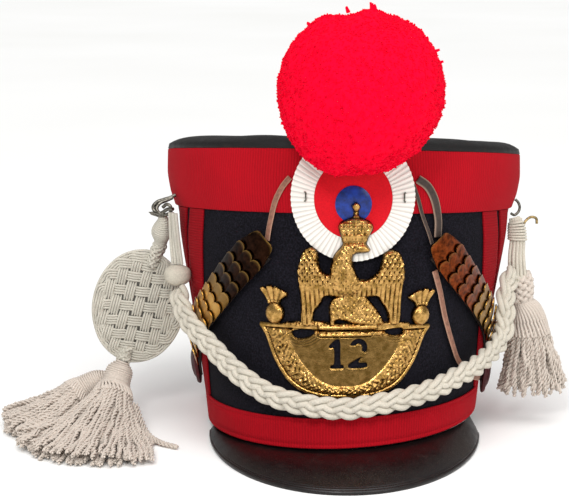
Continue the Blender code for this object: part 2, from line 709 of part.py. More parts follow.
def prism(outlines, floor, top):
    """A flat outline, with any holes, standing from floor to top, as a bmesh-ready mesh object."""
    curve = bpy.data.curves.new("outline", 'CURVE')
    curve.dimensions = '2D'
    curve.fill_mode = 'BOTH'
    curve.extrude = 0.5 * (top - floor)
    for outline in outlines:
        spline = curve.splines.new('POLY')
        spline.points.add(len(outline) - 1)
        for slot, (x, y) in zip(spline.points, outline):
            slot.co = (x, y, 0.0, 1.0)
        spline.use_cyclic_u = True
    holder = bpy.data.objects.new("outline", curve)
    bpy.context.scene.collection.objects.link(holder)
    bpy.context.view_layer.update()
    mesh = bpy.data.meshes.new_from_object(holder.evaluated_get(bpy.context.evaluated_depsgraph_get()))
    bpy.data.objects.remove(holder, do_unlink=True)
    shape = bmesh.new()
    shape.from_mesh(mesh)
    bmesh.ops.remove_doubles(shape, verts=shape.verts, dist=0.01 * MM)
    bmesh.ops.translate(shape, verts=shape.verts, vec=(0.0, 0.0, 0.5 * (top + floor)))
    bmesh.ops.recalc_face_normals(shape, faces=shape.faces)
    shape.to_mesh(mesh)
    shape.free()
    return mesh


def cutter_object(name, mesh, group):
    item = bpy.data.objects.new(name, mesh)
    group.objects.link(item)
    item.hide_render = True
    item.display_type = 'WIRE'
    return item


def millimetres(points):
    return [(x * MM, y * MM) for x, y in points]


def bowl(edge):
    """Both sides of an outline given as levels and half widths, from the left top round."""
    left = [(-half, level) for level, half in edge]
    right = [(half, level) for level, half in reversed(edge)]
    return millimetres([(x, y - SHIELD_TILT * x - SHIELD_DROP) for x, y in left + right])


def digit_one():
    """A stencilled 1, as the outline of its cut."""
    left, top, foot = -10.5 * MM, DIGIT_TOP, DIGIT_FOOT
    return [[(left, top - 4.4 * MM), (left + 4.4 * MM, top), (left + 7.6 * MM, top),
             (left + 7.6 * MM, foot + 2.2 * MM), (left + 9.8 * MM, foot + 2.0 * MM),
             (left + 9.8 * MM, foot), (left + 1.4 * MM, foot), (left + 1.4 * MM, foot + 2.0 * MM),
             (left + 3.8 * MM, foot + 2.2 * MM), (left + 3.8 * MM, top - 5.0 * MM),
             (left + 1.0 * MM, top - 5.6 * MM)]]


def digit_two():
    """A stencilled 2 in two cuts, with a bridge between them."""
    top, foot = DIGIT_TOP, DIGIT_FOOT
    centre = (8.2 * MM, top - 5.4 * MM)
    bow = arc(centre, 5.5 * MM, 165, -38, 6) + arc(centre, 2.3 * MM, -38, 150, 4)
    slant = [(11.0 * MM, top - 10.8 * MM), (7.4 * MM, foot + 3.4 * MM),
             (13.8 * MM, foot + 3.4 * MM), (13.8 * MM, foot), (1.8 * MM, foot),
             (1.8 * MM, foot + 2.6 * MM), (7.8 * MM, top - 12.2 * MM)]
    return [bow, slant]


def plate_relief():
    """The raised shapes that are fused to the shield."""
    base = PLATE_THICKNESS
    shapes = [
        prism([bowl(SHIELD_EDGE), bowl(FIELD_EDGE)], 0.3 * MM, base + BORDER_RAISE),
        prism([millimetres(WINGS)], 0.0, base + 1.4 * MM),
        prism([millimetres(LEGS)], 0.0, base + 1.9 * MM),
        prism([millimetres(BAR)], 0.0, base + 1.2 * MM),
        prism([millimetres(TRUNK)], 0.0, base + 2.7 * MM),
        prism([millimetres(CROWN)], 0.0, base + 2.2 * MM),
    ]
    for across, up, side in GRENADES:
        flame = [(across + side * x, up + y) for x, y in FLAME]
        shapes.append(prism([millimetres(flame)], 0.0, base + 0.8 * MM))
        ball = arc((across * MM, up * MM), BALL_RADIUS * MM, 0, 324, 9)
        shapes.append(prism([ball], 0.0, base + 2.3 * MM))
    return shapes


def build_plate(surfaces, group, cutters, stand):
    base = prism([bowl(SHIELD_EDGE)], 0.0, PLATE_THICKNESS)
    item = link("eagle_plate", base, surfaces["brass"], group, None)
    for i, mesh in enumerate(plate_relief()):
        add_boolean(item, cutter_object(f"plate_relief_{i}", mesh, cutters), 'UNION')
    holes = [millimetres(outline) for outline in TEARDROPS] + digit_one() + digit_two()
    for i, outline in enumerate(holes):
        mesh = prism([outline], -2 * MM, 6 * MM)
        add_boolean(item, cutter_object(f"plate_hole_{i}", mesh, cutters), 'DIFFERENCE')
    bpy.context.view_layer.update()
    flat = bpy.data.meshes.new_from_object(item.evaluated_get(bpy.context.evaluated_depsgraph_get()))
    item.modifiers.clear()
    item.data = flat
    bend_plate(flat)
    smooth(flat, 30.0)
    item.parent = stand


def add_boolean(item, other, operation):
    change = item.modifiers.new(other.name, 'BOOLEAN')
    change.operation = operation
    change.solver = 'EXACT'
    change.object = other


def bend_plate(mesh):
    """Slice the flat casting by upright and level planes, then lay it round the hat."""
    shape = bmesh.new()
    shape.from_mesh(mesh)
    bmesh.ops.remove_doubles(shape, verts=shape.verts, dist=0.01 * MM)
    reach = 56 * MM
    station = -reach
    while station < reach:
        geometry = shape.verts[:] + shape.edges[:] + shape.faces[:]
        bmesh.ops.bisect_plane(shape, geom=geometry, dist=0.005 * MM,
                               plane_co=(station, 0.0, 0.0), plane_no=(1.0, 0.0, 0.0))
        station += PLATE_SLICE
    for level in (13 * MM, 22 * MM, 32 * MM, 41 * MM):
        geometry = shape.verts[:] + shape.edges[:] + shape.faces[:]
        bmesh.ops.bisect_plane(shape, geom=geometry, dist=0.005 * MM,
                               plane_co=(0.0, level, 0.0), plane_no=(0.0, 1.0, 0.0))
    for vert in shape.verts:
        x, y, z = vert.co
        level = PLATE_HEIGHT + y
        rise = (level - PLATE_STEP_FROM) / (PLATE_STEP_TO - PLATE_STEP_FROM)
        rise = min(max(rise, 0.0), 1.0)
        lift = PLATE_LIFT + z + PLATE_STEP * rise * rise * (3.0 - 2.0 * rise)
        vert.co = wrap(x, y, lift, PLATE_AZIMUTH, PLATE_HEIGHT)
    bmesh.ops.recalc_face_normals(shape, faces=shape.faces)
    shape.to_mesh(mesh)
    shape.free()


# ---------------------------------------------------------------- pompom

def build_pompom(surfaces, group, cutters, stand):
    """A woollen ball, gently lumpy, hollowed where it bears on the crown and the cockade."""
    shape = bmesh.new()
    bmesh.ops.create_uvsphere(shape, u_segments=24, v_segments=15, radius=POMPOM_RADIUS)
    for vert in shape.verts:
        x, y, z = vert.co.normalized()
        lump = math.sin(7.0 * x + 2.0 * z) * math.cos(6.0 * y - 3.0 * x) * math.sin(5.0 * z + y)
        vert.co = vert.co.normalized() * (POMPOM_RADIUS + POMPOM_LUMP * lump)
    mesh = bpy.data.meshes.new("pompom")
    shape.to_mesh(mesh)
    shape.free()
    mesh.shade_smooth()
    item = link("pompom", mesh, surfaces["red wool"], group, stand)
    item.location = POMPOM_CENTRE
    shape = bmesh.new()
    bmesh.ops.create_cone(shape, cap_ends=True, segments=72, radius1=POMPOM_SEAT_FOOT,
                          radius2=POMPOM_SEAT_RADIUS, depth=POMPOM_SEAT_TOP)
    bmesh.ops.translate(shape, verts=shape.verts, vec=(0.0, 0.0, 0.5 * POMPOM_SEAT_TOP))
    mesh = bpy.data.meshes.new("pompom_seat")
    shape.to_mesh(mesh)
    shape.free()
    seat = cutter_object("pompom_seat", mesh, cutters)
    seat.parent = stand
    add_boolean(item, seat, 'DIFFERENCE')


# ---------------------------------------------------------------- chinscales and laces

def build_chinscale(side, surfaces, group, stand):
    route = STRAP_ROUTES[side]
    ribbon(f"chinscale_strap_{side}", route, STRAP_WIDTH, STRAP_LIFT, STRAP_THICKNESS,
           surfaces["tan leather"], group, stand, samples=13)
    samples = 121
    stations, scale = ribbon_stations(route, samples)
    length = sum((b[0] - a[0]).length for a, b in zip(stations, stations[1:]))
    start = BOSS_RADIUS + 1.5 * MM
    pitch = (length - start - 4.5 * MM) / (SCALE_COUNT - 0.5)
    base_lift = STRAP_LIFT + STRAP_THICKNESS + SCALE_CLEAR
    rise = (SCALE_THICKNESS + 0.45 * MM) / pitch
    for i in range(SCALE_COUNT):
        root = start + pitch * i
        reach = pitch + SCALE_OVERLAP
        name = f"scale_{side}_{i + 1:02d}"
        rows = scale_rows(stations, scale, length, root, reach, base_lift, rise)
        item = link(name, grid_mesh(name, rows), surfaces["brass"], group, stand)
        flip_if_inward(item)
        thicken(item, SCALE_THICKNESS)
    build_boss(side, surfaces, group, stand)


def scale_rows(stations, scale, length, root, reach, base_lift, rise):
    """A straight root and a free edge of three lobes, rising over the next scale."""
    columns = LOBES * 3
    rows = []
    for share in (0.0, 1.0):
        row = []
        for k in range(columns + 1):
            sideways = SCALE_WIDTH * (k / columns - 0.5)
            lobe = LOBE_DEPTH * share * (0.0 if k % 3 == 0 else 1.0)
            along = root + (reach - LOBE_DEPTH) * share + lobe
            lift = base_lift + rise * (along - root) + SCALE_THICKNESS
            at = min(max(along / length, 0.0), 1.0) * (len(stations) - 1)
            row.append(ribbon_point(stations[int(round(at))], sideways, lift, scale))
        rows.append(row)
    return rows


def build_boss(side, surfaces, group, stand):
    """A domed leather boss over the strap's root, flat on its back."""
    azimuth, height = BOSS_PLACES[side]
    name = f"chinscale_boss_{side}"
    rows = []
    for turn_up in (0.0, 18.0, 38.0, 60.0, 80.0):
        radius = BOSS_RADIUS * math.cos(math.radians(turn_up))
        z = BOSS_HEIGHT * math.sin(math.radians(turn_up))
        rows.append([Vector((x, y, z)) for x, y in arc((0.0, 0.0), radius, 0, 342, 19)])
    mesh = grid_mesh(name, rows, ring=True, cap_first=True, cap_last=True)
    smooth(mesh, 40.0)
    item = link(name, mesh, surfaces["black leather"], group, stand)
    lift = STRAP_LIFT + STRAP_THICKNESS + 0.5 * MM
    item.location = on_hat(azimuth, height, lift)
    item.rotation_euler = outward(azimuth, height).to_track_quat('Z', 'Y').to_euler()


def build_laces(surfaces, group, stand):
    for name, (width, route) in LACES.items():
        ribbon(name, route, width, LACE_LIFT, LACE_THICKNESS, surfaces["tan leather"], group, stand)


# ---------------------------------------------------------------- cords and tassels

def build_cords(surfaces, group, stand, table):
    tube("front_plait", PLAIT_ROUTE, PLAIT_RADIUS, surfaces["white cord"], group, stand, 30, 3)
    for name, route in LEFT_CORDS.items():
        tube(name, route, CORD_RADIUS, surfaces["white cord"], group, table, 7)
    for name, route in HOOKS.items():
        metal = "brass" if name.startswith("cord") else "dark metal"
        tube(name, route, HOOK_RADIUS, surfaces[metal], group, table, 12)
    shape = bmesh.new()
    bmesh.ops.create_uvsphere(shape, u_segments=14, v_segments=8, radius=1.0)
    bmesh.ops.scale(shape, verts=shape.verts, vec=SLIDE_HALF)
    mesh = bpy.data.meshes.new("cord_slide_left")
    shape.to_mesh(mesh)
    shape.free()
    mesh.shade_smooth()
    link("cord_slide_left", mesh, surfaces["white cord"], group, table).location = SLIDE_CENTRE
    lobed_loft("cord_bundle_right", BUNDLE_PATH, 4, 1, group, table, surfaces["white cord"])


def build_raquette(surfaces, group, cutters, table):
    """A flat plaited oval with its knob above and its neck below, as one solid."""
    shape = bmesh.new()
    bmesh.ops.create_uvsphere(shape, u_segments=20, v_segments=8, radius=1.0)
    turn = Matrix.Rotation(math.radians(90.0), 4, 'X')
    bmesh.ops.transform(shape, matrix=turn, verts=shape.verts)
    for vert in shape.verts:
        flat = math.copysign(abs(vert.co.y) ** 0.6, vert.co.y)
        vert.co = Vector((vert.co.x * RAQUETTE_HALF.x, flat * RAQUETTE_HALF.y,
                          vert.co.z * RAQUETTE_HALF.z))
    bmesh.ops.recalc_face_normals(shape, faces=shape.faces)
    mesh = bpy.data.meshes.new("raquette_left")
    shape.to_mesh(mesh)
    shape.free()
    mesh.transform(Euler((0.0, math.radians(RAQUETTE_LEAN), 0.0)).to_matrix().to_4x4())
    mesh.transform(Matrix.Translation(RAQUETTE_CENTRE))
    item = link("raquette_left", mesh, surfaces["white cord"], group, table)
    for name, path in (("raquette_knob", KNOB_PATH), ("raquette_neck", NECK_PATH)):
        other = lobed_loft(name, path, 4, 99, cutters, table, surfaces["white cord"])
        other.hide_render = True
        other.display_type = 'WIRE'
        add_boolean(item, other, 'UNION')


def build_tassels(surfaces, group, table):
    for name, path in TASSELS.items():
        lobed_loft(name, path, TASSEL_LOBES, TASSEL_HEAD_SECTIONS[name], group, table,
                   surfaces["white cord"], floor=TABLE_CLEAR)


# ---------------------------------------------------------------- assembly

def make_surfaces():
    surfaces = {
        "felt": make_material("black felt", "141416", 0.95),
        "red cloth": make_material("red ribbed cloth", "B3101C", 0.85),
        "black leather": make_material("black leather", "1B1718", 0.45),
        "tan leather": make_material("tan leather", "9A7156", 0.7),
        "brass": make_material("stamped brass", "C9973F", 0.3, 1.0),
        "dark metal": make_material("dark steel wire", "77736A", 0.4, 1.0),
        "red wool": make_material("red wool", "E3121F", 0.95),
        "white cord": make_material("off-white cotton cord", "DAD3C6", 0.9),
    }
    for name, _, _, _, _, colour in COCKADE_RINGS:
        surfaces[name] = make_material(name.replace("_", " "), colour, 0.8)
    return surfaces


def make_frames(group):
    """The table's frame, centred on the footprint, and the hat's own frame leaning back in it."""
    table = bpy.data.objects.new("table_frame", None)
    group.objects.link(table)
    table.location = (*FOOTPRINT_SHIFT, 0.0)
    stand = bpy.data.objects.new("hat_frame", None)
    group.objects.link(stand)
    stand.parent = table
    angle = table_angle()
    stand.rotation_euler = (-angle, 0.0, 0.0)
    stand.location.z = REAR_REST.y * math.sin(angle) - REAR_REST.z * math.cos(angle)
    return table, stand


def main():
    clear_scene()
    group = new_collection("shako_hat")
    cutters = new_collection("cutters")
    surfaces = make_surfaces()
    table, stand = make_frames(group)
    build_body(surfaces, group, stand)
    build_cap(surfaces, group, stand)
    build_band("top_band", TOP_BAND_FOOT, TOP_BAND_TOP, surfaces, group, stand)
    build_band("bottom_band", BOTTOM_BAND_FOOT, BOTTOM_BAND_TOP, surfaces, group, stand)
    outer = ((OUTER_EDGE_TOP, OUTER_EDGE_TURN), (OUTER_INSIDE_TOP, OUTER_INSIDE_TURN))
    inner = ((INNER_EDGE_TOP, INNER_TURN), (INNER_INSIDE_TOP, INNER_TURN))
    for name, side in (("left", -1), ("right", 1)):
        build_chevron(f"chevron_{name}_outer", side, *outer, surfaces, group, stand)
        build_chevron(f"chevron_{name}_inner", side, *inner, surfaces, group, stand)
        build_chinscale(name, surfaces, group, stand)
    build_visor(surfaces, group, stand)
    build_cockade(surfaces, group, stand)
    build_plate(surfaces, group, cutters, stand)
    build_pompom(surfaces, group, cutters, stand)
    build_laces(surfaces, group, stand)
    build_cords(surfaces, group, stand, table)
    build_raquette(surfaces, group, cutters, table)
    build_tassels(surfaces, group, table)


main()
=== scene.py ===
"""Looks of a soldier's parade shako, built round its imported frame.

Lengths are in metres, +Z is up and the front is toward -Y.  The hat's own frame is upright; it
leans back in the shared frame, as it does on a table.
"""
import math

import bmesh
import bpy
import numpy as np
from bpy.props import FloatProperty, FloatVectorProperty, IntProperty, PointerProperty
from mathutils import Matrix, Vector


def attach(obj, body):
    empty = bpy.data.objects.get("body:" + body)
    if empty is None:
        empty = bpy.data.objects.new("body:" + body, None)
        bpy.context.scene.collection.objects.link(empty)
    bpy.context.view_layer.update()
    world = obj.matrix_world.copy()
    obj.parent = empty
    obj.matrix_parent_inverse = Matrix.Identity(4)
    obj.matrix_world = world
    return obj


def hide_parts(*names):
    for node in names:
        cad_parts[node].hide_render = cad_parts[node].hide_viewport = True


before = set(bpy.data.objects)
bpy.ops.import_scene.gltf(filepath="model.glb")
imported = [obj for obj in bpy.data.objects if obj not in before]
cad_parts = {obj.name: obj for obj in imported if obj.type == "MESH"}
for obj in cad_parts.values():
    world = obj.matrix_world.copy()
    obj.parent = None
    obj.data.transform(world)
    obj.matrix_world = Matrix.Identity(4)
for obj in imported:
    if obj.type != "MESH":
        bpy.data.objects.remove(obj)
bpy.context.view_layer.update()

bl_info = {
    "name": "Parade shako",
    "version": (1, 0, 0),
    "blender": (4, 5, 0),
    "location": "View3D > Sidebar > Shako",
    "description": "Builds a soldier's parade shako: felt, cloth, brass plate, pompom and cords",
    "category": "Object",
}

MM = 0.001
BODY = "root"

# ---- the solids' own values
HEIGHT = 180.25 * MM
RIM_DEPTH_RATIO = 1.2277
RIM_RISE_BACK, RIM_RISE_RIGHT = 0.0685, 0.0495
TOP_FALL_RIGHT = 0.0261
CROWN_TURN, CROWN_LEAN_BACK, CROWN_SETTLE = 0.0146, 0.032, 2.85 * MM
FELT_PROFILE = np.array((      # height above the rim, half width across the ears
    (0, 90.4), (19.6, 92.6), (60, 98.8), (100, 105.8), (126, 110.8), (142.6, 113.2),
    (152, 116.6), (164, 118.7), (180.6, 118.4),
)) * MM
CAP_PROFILE = (                # height, radius: up the edge and over the top, millimetres
    (180.8, 120), (182.2, 120.3), (183.6, 119.6), (185.2, 117), (187.2, 112),
    (188.6, 103), (189.2, 84), (189, 50), (188.8, 20), (188.8, 1.5),
)
CLOTH_THICKNESS = 1.2 * MM
TOP_BAND_FOOT, TOP_BAND_TOP = 142.6, 180.25
BOTTOM_BAND_FOOT, BOTTOM_BAND_TOP = 1.0, 19.4
CHEVRON_FOOT, CHEVRON_TOP = 19.8 * MM, 142.2 * MM
SIDE = 90.0
CHEVRONS = {                   # edge and inside: degrees at the top, degrees per metre down
    "outer": ((50.5, 142), (60, 268)),
    "inner": ((62.8, 268), (72.5, 268)),
}
VISOR_THICKNESS = 2.4 * MM
VISOR_HALF_WIDTH = 89.5 * MM
VISOR_CENTRE_X, VISOR_CENTRE_Y = 1.5 * MM, -30 * MM
VISOR_LENGTH = 125 * MM
VISOR_BULGE = 2.5 * MM
VISOR_SWEEP = 87.0
VISOR_TUCK = 2.2 * MM
SEAM_GAP = 0.4 * MM
REAR_REST_Y, REAR_REST_Z = 94.1 * MM, 3.95 * MM
VISOR_TIP_DROP = 27.0 * MM
SHIFT_X, SHIFT_Y = -2.2 * MM, 15.7 * MM
TABLE_SLOPE = (REAR_REST_Z + VISOR_TIP_DROP) / (REAR_REST_Y - VISOR_CENTRE_Y + VISOR_LENGTH)
LEAN = math.atan(TABLE_SLOPE)
RISE = REAR_REST_Y * math.sin(LEAN) - REAR_REST_Z * math.cos(LEAN)

COCKADE_AZIMUTH, COCKADE_HEIGHT = 3.0, 152.6 * MM
COCKADE_FACE = 4.6 * MM        # of its outer face, off the felt
STAPLE = (                     # inward, up and off the pleats, millimetres
    (1.2, 2.6, -0.8), (0.6, 2.6, 0.6), (0, 2.2, 1), (0, 0, 1.1), (0, -2.2, 1),
    (0.6, -2.6, 0.6), (1.2, -2.6, -0.8),
)
PLATE_AZIMUTH, PLATE_HEIGHT = 1.0, 73.0 * MM
PLATE_LIFT, PLATE_STEP = 0.6, 4.8
PLATE_STEP_FROM, PLATE_STEP_TO = 13.0, 41.0       # millimetres above the plate's centre
SHIELD_TILT, SHIELD_DROP = 0.024, 1.3
SHIELD_EDGE = (
    (4.2, 56.4), (1.9, 57.4), (-0.8, 54.8), (-4.5, 52.2), (-12, 49.2), (-18, 46.4),
    (-24, 42.4), (-30, 37.4), (-35, 30.8), (-38.4, 22), (-40.2, 11),
)
FIELD_EDGE = (
    (-1.5, 36), (-6, 35), (-11, 32.6), (-17, 28.6), (-24, 22.6), (-30, 15.4),
    (-33, 7),
)
WINGS = (
    (-28.7, 39.1), (-26.2, 46.8), (-24, 49.6), (-20.7, 50.4), (-18, 49.6), (-16.6, 46.8),
    (-15.8, 40.2), (-14.7, 36.9), (-11.9, 34.7), (-4, 33), (6, 31.5), (12.9, 30.9),
    (15.7, 33.1), (19, 35.8), (21.2, 42.4), (22, 45.7), (23.9, 47.9), (27.2, 48.8),
    (30.5, 48.2), (32.5, 46.8), (35.2, 39.7), (36, 33.8), (34.9, 22.6), (34.9, 2.4),
    (27.2, 2.4), (25.6, 11.6), (21.7, 16.5), (19, 20.7), (4, 19), (-9.7, 20.9),
    (-13.3, 20.3), (-14.9, 16), (-19.3, 11.6), (-20.2, 2.6), (-27.9, 2.6), (-27.9, 17.1),
    (-29.3, 34.7),
)
TRUNK = (
    (-5.8, 47.9), (-7.5, 45.2), (-8.9, 41.3), (-9.7, 33.6), (-8.6, 24), (0, 19.6),
    (9, 22), (10.4, 28.7), (6.3, 34.2), (3.9, 41.3), (4.2, 46.4), (13.4, 47),
    (14.6, 49.1), (12.3, 51.8), (11.5, 54), (-2, 54), (-2.3, 51.8),
)
LEGS = (
    (-9.9, 17.1), (-7.5, 20.4), (0, 22), (12, 21.6), (14, 19.3), (20.1, 12.1),
    (25.4, 2.6), (10.2, 2.6), (-5.8, 7.4), (-6.3, 2.6), (-9.6, 2.6), (-10.3, 12.7),
)
BAR = (
    (-40, 0.9), (-40.4, 5.2), (-15, 6.2), (-11, 4.9), (18, 4), (22, 4.9),
    (42, 3.6), (41, 0.2), (22, -0.2), (-12, 0.4),
)
CROWN = (
    (-5, 62.3), (-3.6, 65.4), (1.9, 67.5), (3.8, 68.4), (4.1, 71.6), (2.4, 74.6), (5.6, 77.4),
    (8.6, 74.6), (7.2, 71.6), (7.5, 68.4), (10.1, 67.5), (14.6, 65.4), (16.5, 61.7),
    (12.9, 55.7), (12.1, 52.4), (-2.3, 52.4), (-3.1, 56.2),
)
FLAME = (
    (-4.4, 4.6), (-5.2, 8.4), (-10.2, 14.8), (-7.8, 16.8), (-1.5, 17.2), (4.6, 15.2),
    (9.6, 12.6), (9.2, 10.4), (4.4, 7.6), (4, 4.6),
)
GRENADES = ((-45.4, 9.8, 1.0), (49.3, 7.2, -1.0))
BALL_RADIUS = 6.6
TEARDROPS = (
    ((-33.3, 0.5), (-18.6, 0.7), (-19.4, -1.8), (-23.4, -4.2), (-29.2, -5), (-32.9, -3.6)),
    ((23.4, -0.3), (36.8, 0.6), (36, -3.4), (32, -4.2), (27.4, -3)),
)
TUBES = ((2.0, -15.4, 18.6, 1.15, 3.6), (-2.6, -15.4, 15.4, 0.95, 2.9))   # under the eagle's feet
POMPOM_CENTRE = np.array((10.2, -150.0, 214.8)) * MM
POMPOM_RADIUS = 50.3 * MM
POMPOM_BULGES = (              # degrees round its middle, millimetres out
    (0, 0.4), (14, 1.8), (32, 1.6), (52, 1.6), (72, -0.6), (84, 1), (100, -2.2), (120, 1.2),
    (145, 1.4), (180, 0.4), (212, 1), (232, 1.8), (262, 0), (295, -1.6), (325, -1),
)
STRAY_WOOL = (                 # across, up, length in millimetres
    (-0.62, 0.86, 3.4), (-0.16, 0.99, 2.4), (0.12, 1, 4.6), (0.17, 1, 3.6), (0.14, 1, 4.2),
    (0.86, 0.5, 3.6), (0.93, 0.36, 2.6), (-0.6, 0.8, 2.8),
)
POMPOM_SEAT_FOOT, POMPOM_SEAT_RADIUS, POMPOM_SEAT_TOP = 142.3 * MM, 124.2 * MM, 192.0 * MM
STRAP_WIDTH, STRAP_THICKNESS, STRAP_LIFT = 20 * MM, 1.6 * MM, 2.1 * MM
SCALE_COUNT, SCALE_WIDTH, SCALE_OVERLAP = 12, 22 * MM, 4.2 * MM
SCALE_THICKNESS, SCALE_CLEAR = 0.7 * MM, 0.55 * MM
LAST_SCALE = 4.5 * MM
BOSS_RADIUS = 13.5 * MM
BOSS_PROFILE = (               # radius, lift: up the edge, over a stitched groove, and the dome
    (12.9, 0), (13.5, 0.5), (13.4, 1.5), (12.6, 2.4), (11.4, 2.7), (10.6, 2.5), (9.8, 3),
    (7.5, 4.2), (4.5, 4.9), (1.5, 5.1), (0.3, 5.1),
)
STRAP_ROUTES = {               # degrees from the front, millimetres up
    "left": ((-86, 36), (-77, 50), (-66, 65), (-57.7, 75), (-48.5, 86), (-41, 97),
             (-32.5, 111), (-25.6, 122.5)),
    "right": ((87, 24), (80, 44), (70, 62.5), (57.6, 78.5), (47.9, 92), (39.4, 106),
              (31.4, 121.5)),
}
BOSS_PLACES = {"left": (-88.0, 35 * MM), "right": (88.0, 22 * MM)}
LACES = {                      # width, thickness of the round back, route
    "lace_left": (3.6, ((-15.4, 163.5), (-18, 157), (-20.6, 147), (-22.2, 136), (-23.2, 126))),
    "lace_right_arch": (5.5, ((22, 163.5), (25.5, 158.5), (28.3, 149), (29.9, 139),
                              (30, 128))),
    "lace_right_thin": (2.6, ((20.6, 160), (22.6, 150), (24.6, 140), (26.6, 131), (28, 124))),
    "lace_long": (4.2, ((29.6, 107.3), (32.2, 94.7), (35.6, 76.2), (40.7, 57.4),
                        (45.8, 44.6), (56, 32.5), (70, 25.5))),
}
LACE_THICKNESS, LACE_LIFT = 1.4 * MM, 2.1 * MM

PLAIT_ROUTE = np.array((       # in the hat's own frame
    (-109, -44, 85.2), (-107.6, -49.7, 79), (-103, -59, 69.5), (-96, -69.2, 62.5),
    (-84.6, -79.5, 53), (-72.6, -91.5, 43), (-58.6, -103, 33.6), (-45.6, -111.5, 27.2),
    (-32.6, -117.5, 23.9), (-20, -121.5, 21.9), (-7.6, -123.3, 20.8), (4, -123.5, 20.6),
    (17.3, -121.8, 22.3), (36.1, -115.5, 25.2), (48.8, -109, 27.9), (62.2, -99.5, 31.6),
    (75.8, -86, 36.8), (84.6, -77, 40),
    (92.3, -66.4, 44), (101.1, -51.8, 50.1), (107.1, -41.2, 57.5), (108.7, -38.4, 66.5),
    (108.6, -38.2, 77.2), (109.6, -34.4, 86.2), (111.6, -30.6, 92.6),
    (114.6, -26.4, 97.6),
)) * MM
LEFT_CORDS = {                 # from here on, in the table's frame
    "cord_left_rear": ((-113.8, -29.5, 150.2), (-113.3, -29.5, 132), (-112.2, -30, 115.2)),
    "cord_left_front": ((-111.2, -33.4, 150.2), (-109.7, -32.2, 132), (-107.9, -30.8, 115.2)),
}
SLIDE_CENTRE, SLIDE_HALF = (-109.9, -31.0, 108.0), (9.0, 8.4, 6.7)
HOOKS = {
    "side_hook_left": ((-111.8, -20, 160.2), (-115, -21, 158.6), (-119.4, -22, 157.4),
                       (-123.8, -22.6, 155.8), (-126.4, -23.4, 152.6), (-124.8, -24.4, 149.6),
                       (-120.8, -26.2, 149), (-116.4, -28.4, 151.9), (-112.2, -31.4, 152.7)),
    "side_hook_right": ((115.7, -3.6, 155.9), (117.8, -4.2, 153.8), (118.8, -4.8, 150.6),
                        (117.8, -5.4, 147.4), (115.2, -6.2, 145.6), (112.8, -7, 146.8)),
    "cord_hook_right": ((121.4, -6.4, 138.6), (123, -5.6, 141.6), (126.4, -5, 144),
                        (129.9, -5, 143.2), (130.6, -5, 139.6)),
}
HOOK_COIL = (                  # turned round the left hook, and its pointed end
    ((-113.6, -21, 158.6), (-117, -22, 157.1), (-121.9, -23.4, 155.1),
     (-123.9, -24.6, 151.8), (-121.9, -26.2, 148.9), (-117.7, -27.4, 148),
     (-114.2, -28.2, 150.2), (-114.4, -28, 153.8), (-117, -27, 155),
     (-119.7, -26.2, 152.8)),
    ((-115.7, -28, 148.6), (-121, -27, 147.4), (-125.5, -25.6, 148.2),
     (-129.2, -24.2, 149.2)),
)
BUNDLE_PATH = (                # centre, half width, half depth
    ((115.1, -6.9, 144), 3, 2.6), ((116.6, -8, 138.4), 4.6, 3.4),
    ((117.4, -9, 128.6), 5.2, 3.8), ((117, -10, 118.6), 5.8, 4),
    ((117.6, -10, 108.4), 6.4, 4.2), ((118.6, -9, 100), 6.4, 4.2),
)
RAQUETTE_CENTRE, RAQUETTE_HALF, RAQUETTE_LEAN = (-138.7, -13.5, 82.2), (31.6, 4.2, 40.0), 12.0
KNOB_PATH = (
    ((-120.2, -25.9, 147.3), 1.8, 1.8), ((-119.8, -22.4, 142), 4.6, 4.4),
    ((-121.4, -19, 135), 6.9, 6.6), ((-122.4, -16.6, 127.8), 4.4, 4.2),
    ((-124.8, -14.6, 121), 6.6, 3.6), ((-128, -13.6, 111), 6, 3),
)
NECK_PATH = (
    ((-145.6, -13.5, 54), 5.4, 3), ((-148.3, -13.7, 48.6), 4.8, 3.8),
    ((-149.8, -15.3, 44.2), 4.9, 4.4),
)
TASSELS = {
    "tassel_left_front": (
        ((-150, -15.5, 43.5), 4.7, 4.4), ((-151.6, -17.4, 38.5), 9.2, 8.6),
        ((-153.8, -21, 31), 9.8, 9.4), ((-155.4, -26.5, 24.8), 13.4, 10.8),
        ((-156.8, -40, 16.5), 18.5, 10), ((-157, -62, 10), 25.5, 7.6),
        ((-156.4, -82, 6.8), 30.5, 6.2), ((-155.8, -98, 5), 33, 4.8),
    ),
    "tassel_left_rear": (
        ((-161.6, -11.5, 32), 4, 4), ((-167.6, -12.2, 29.4), 7.4, 7.4),
        ((-175.6, -14.6, 25.2), 9, 8.8), ((-183.6, -18, 20.4), 13.4, 10.4),
        ((-195, -25, 13.4), 23.5, 9), ((-207, -34.6, 8.6), 33, 7),
        ((-218, -43.6, 5.6), 40, 5.2),
    ),
    "tassel_right": (
        ((119, -7, 108), 5, 4.4), ((120, -5.5, 102), 8, 6.6),
        ((120.8, -4.5, 93), 8.4, 7), ((122.4, -4, 85.5), 7, 6.4),
        ((125.4, -3.5, 79), 10.4, 8.6), ((127, -3, 71), 12.6, 10.2),
        ((127.6, -3, 64.5), 14, 11.2), ((128.6, -3, 52), 17, 12.2),
        ((129.8, -3, 38), 20.6, 12.8), ((130.4, -3, 23), 24, 13.4),
    ),
}
TABLE_CLEAR = 0.25 * MM
BODY_COLUMNS, BAND_COLUMNS = 168, 360

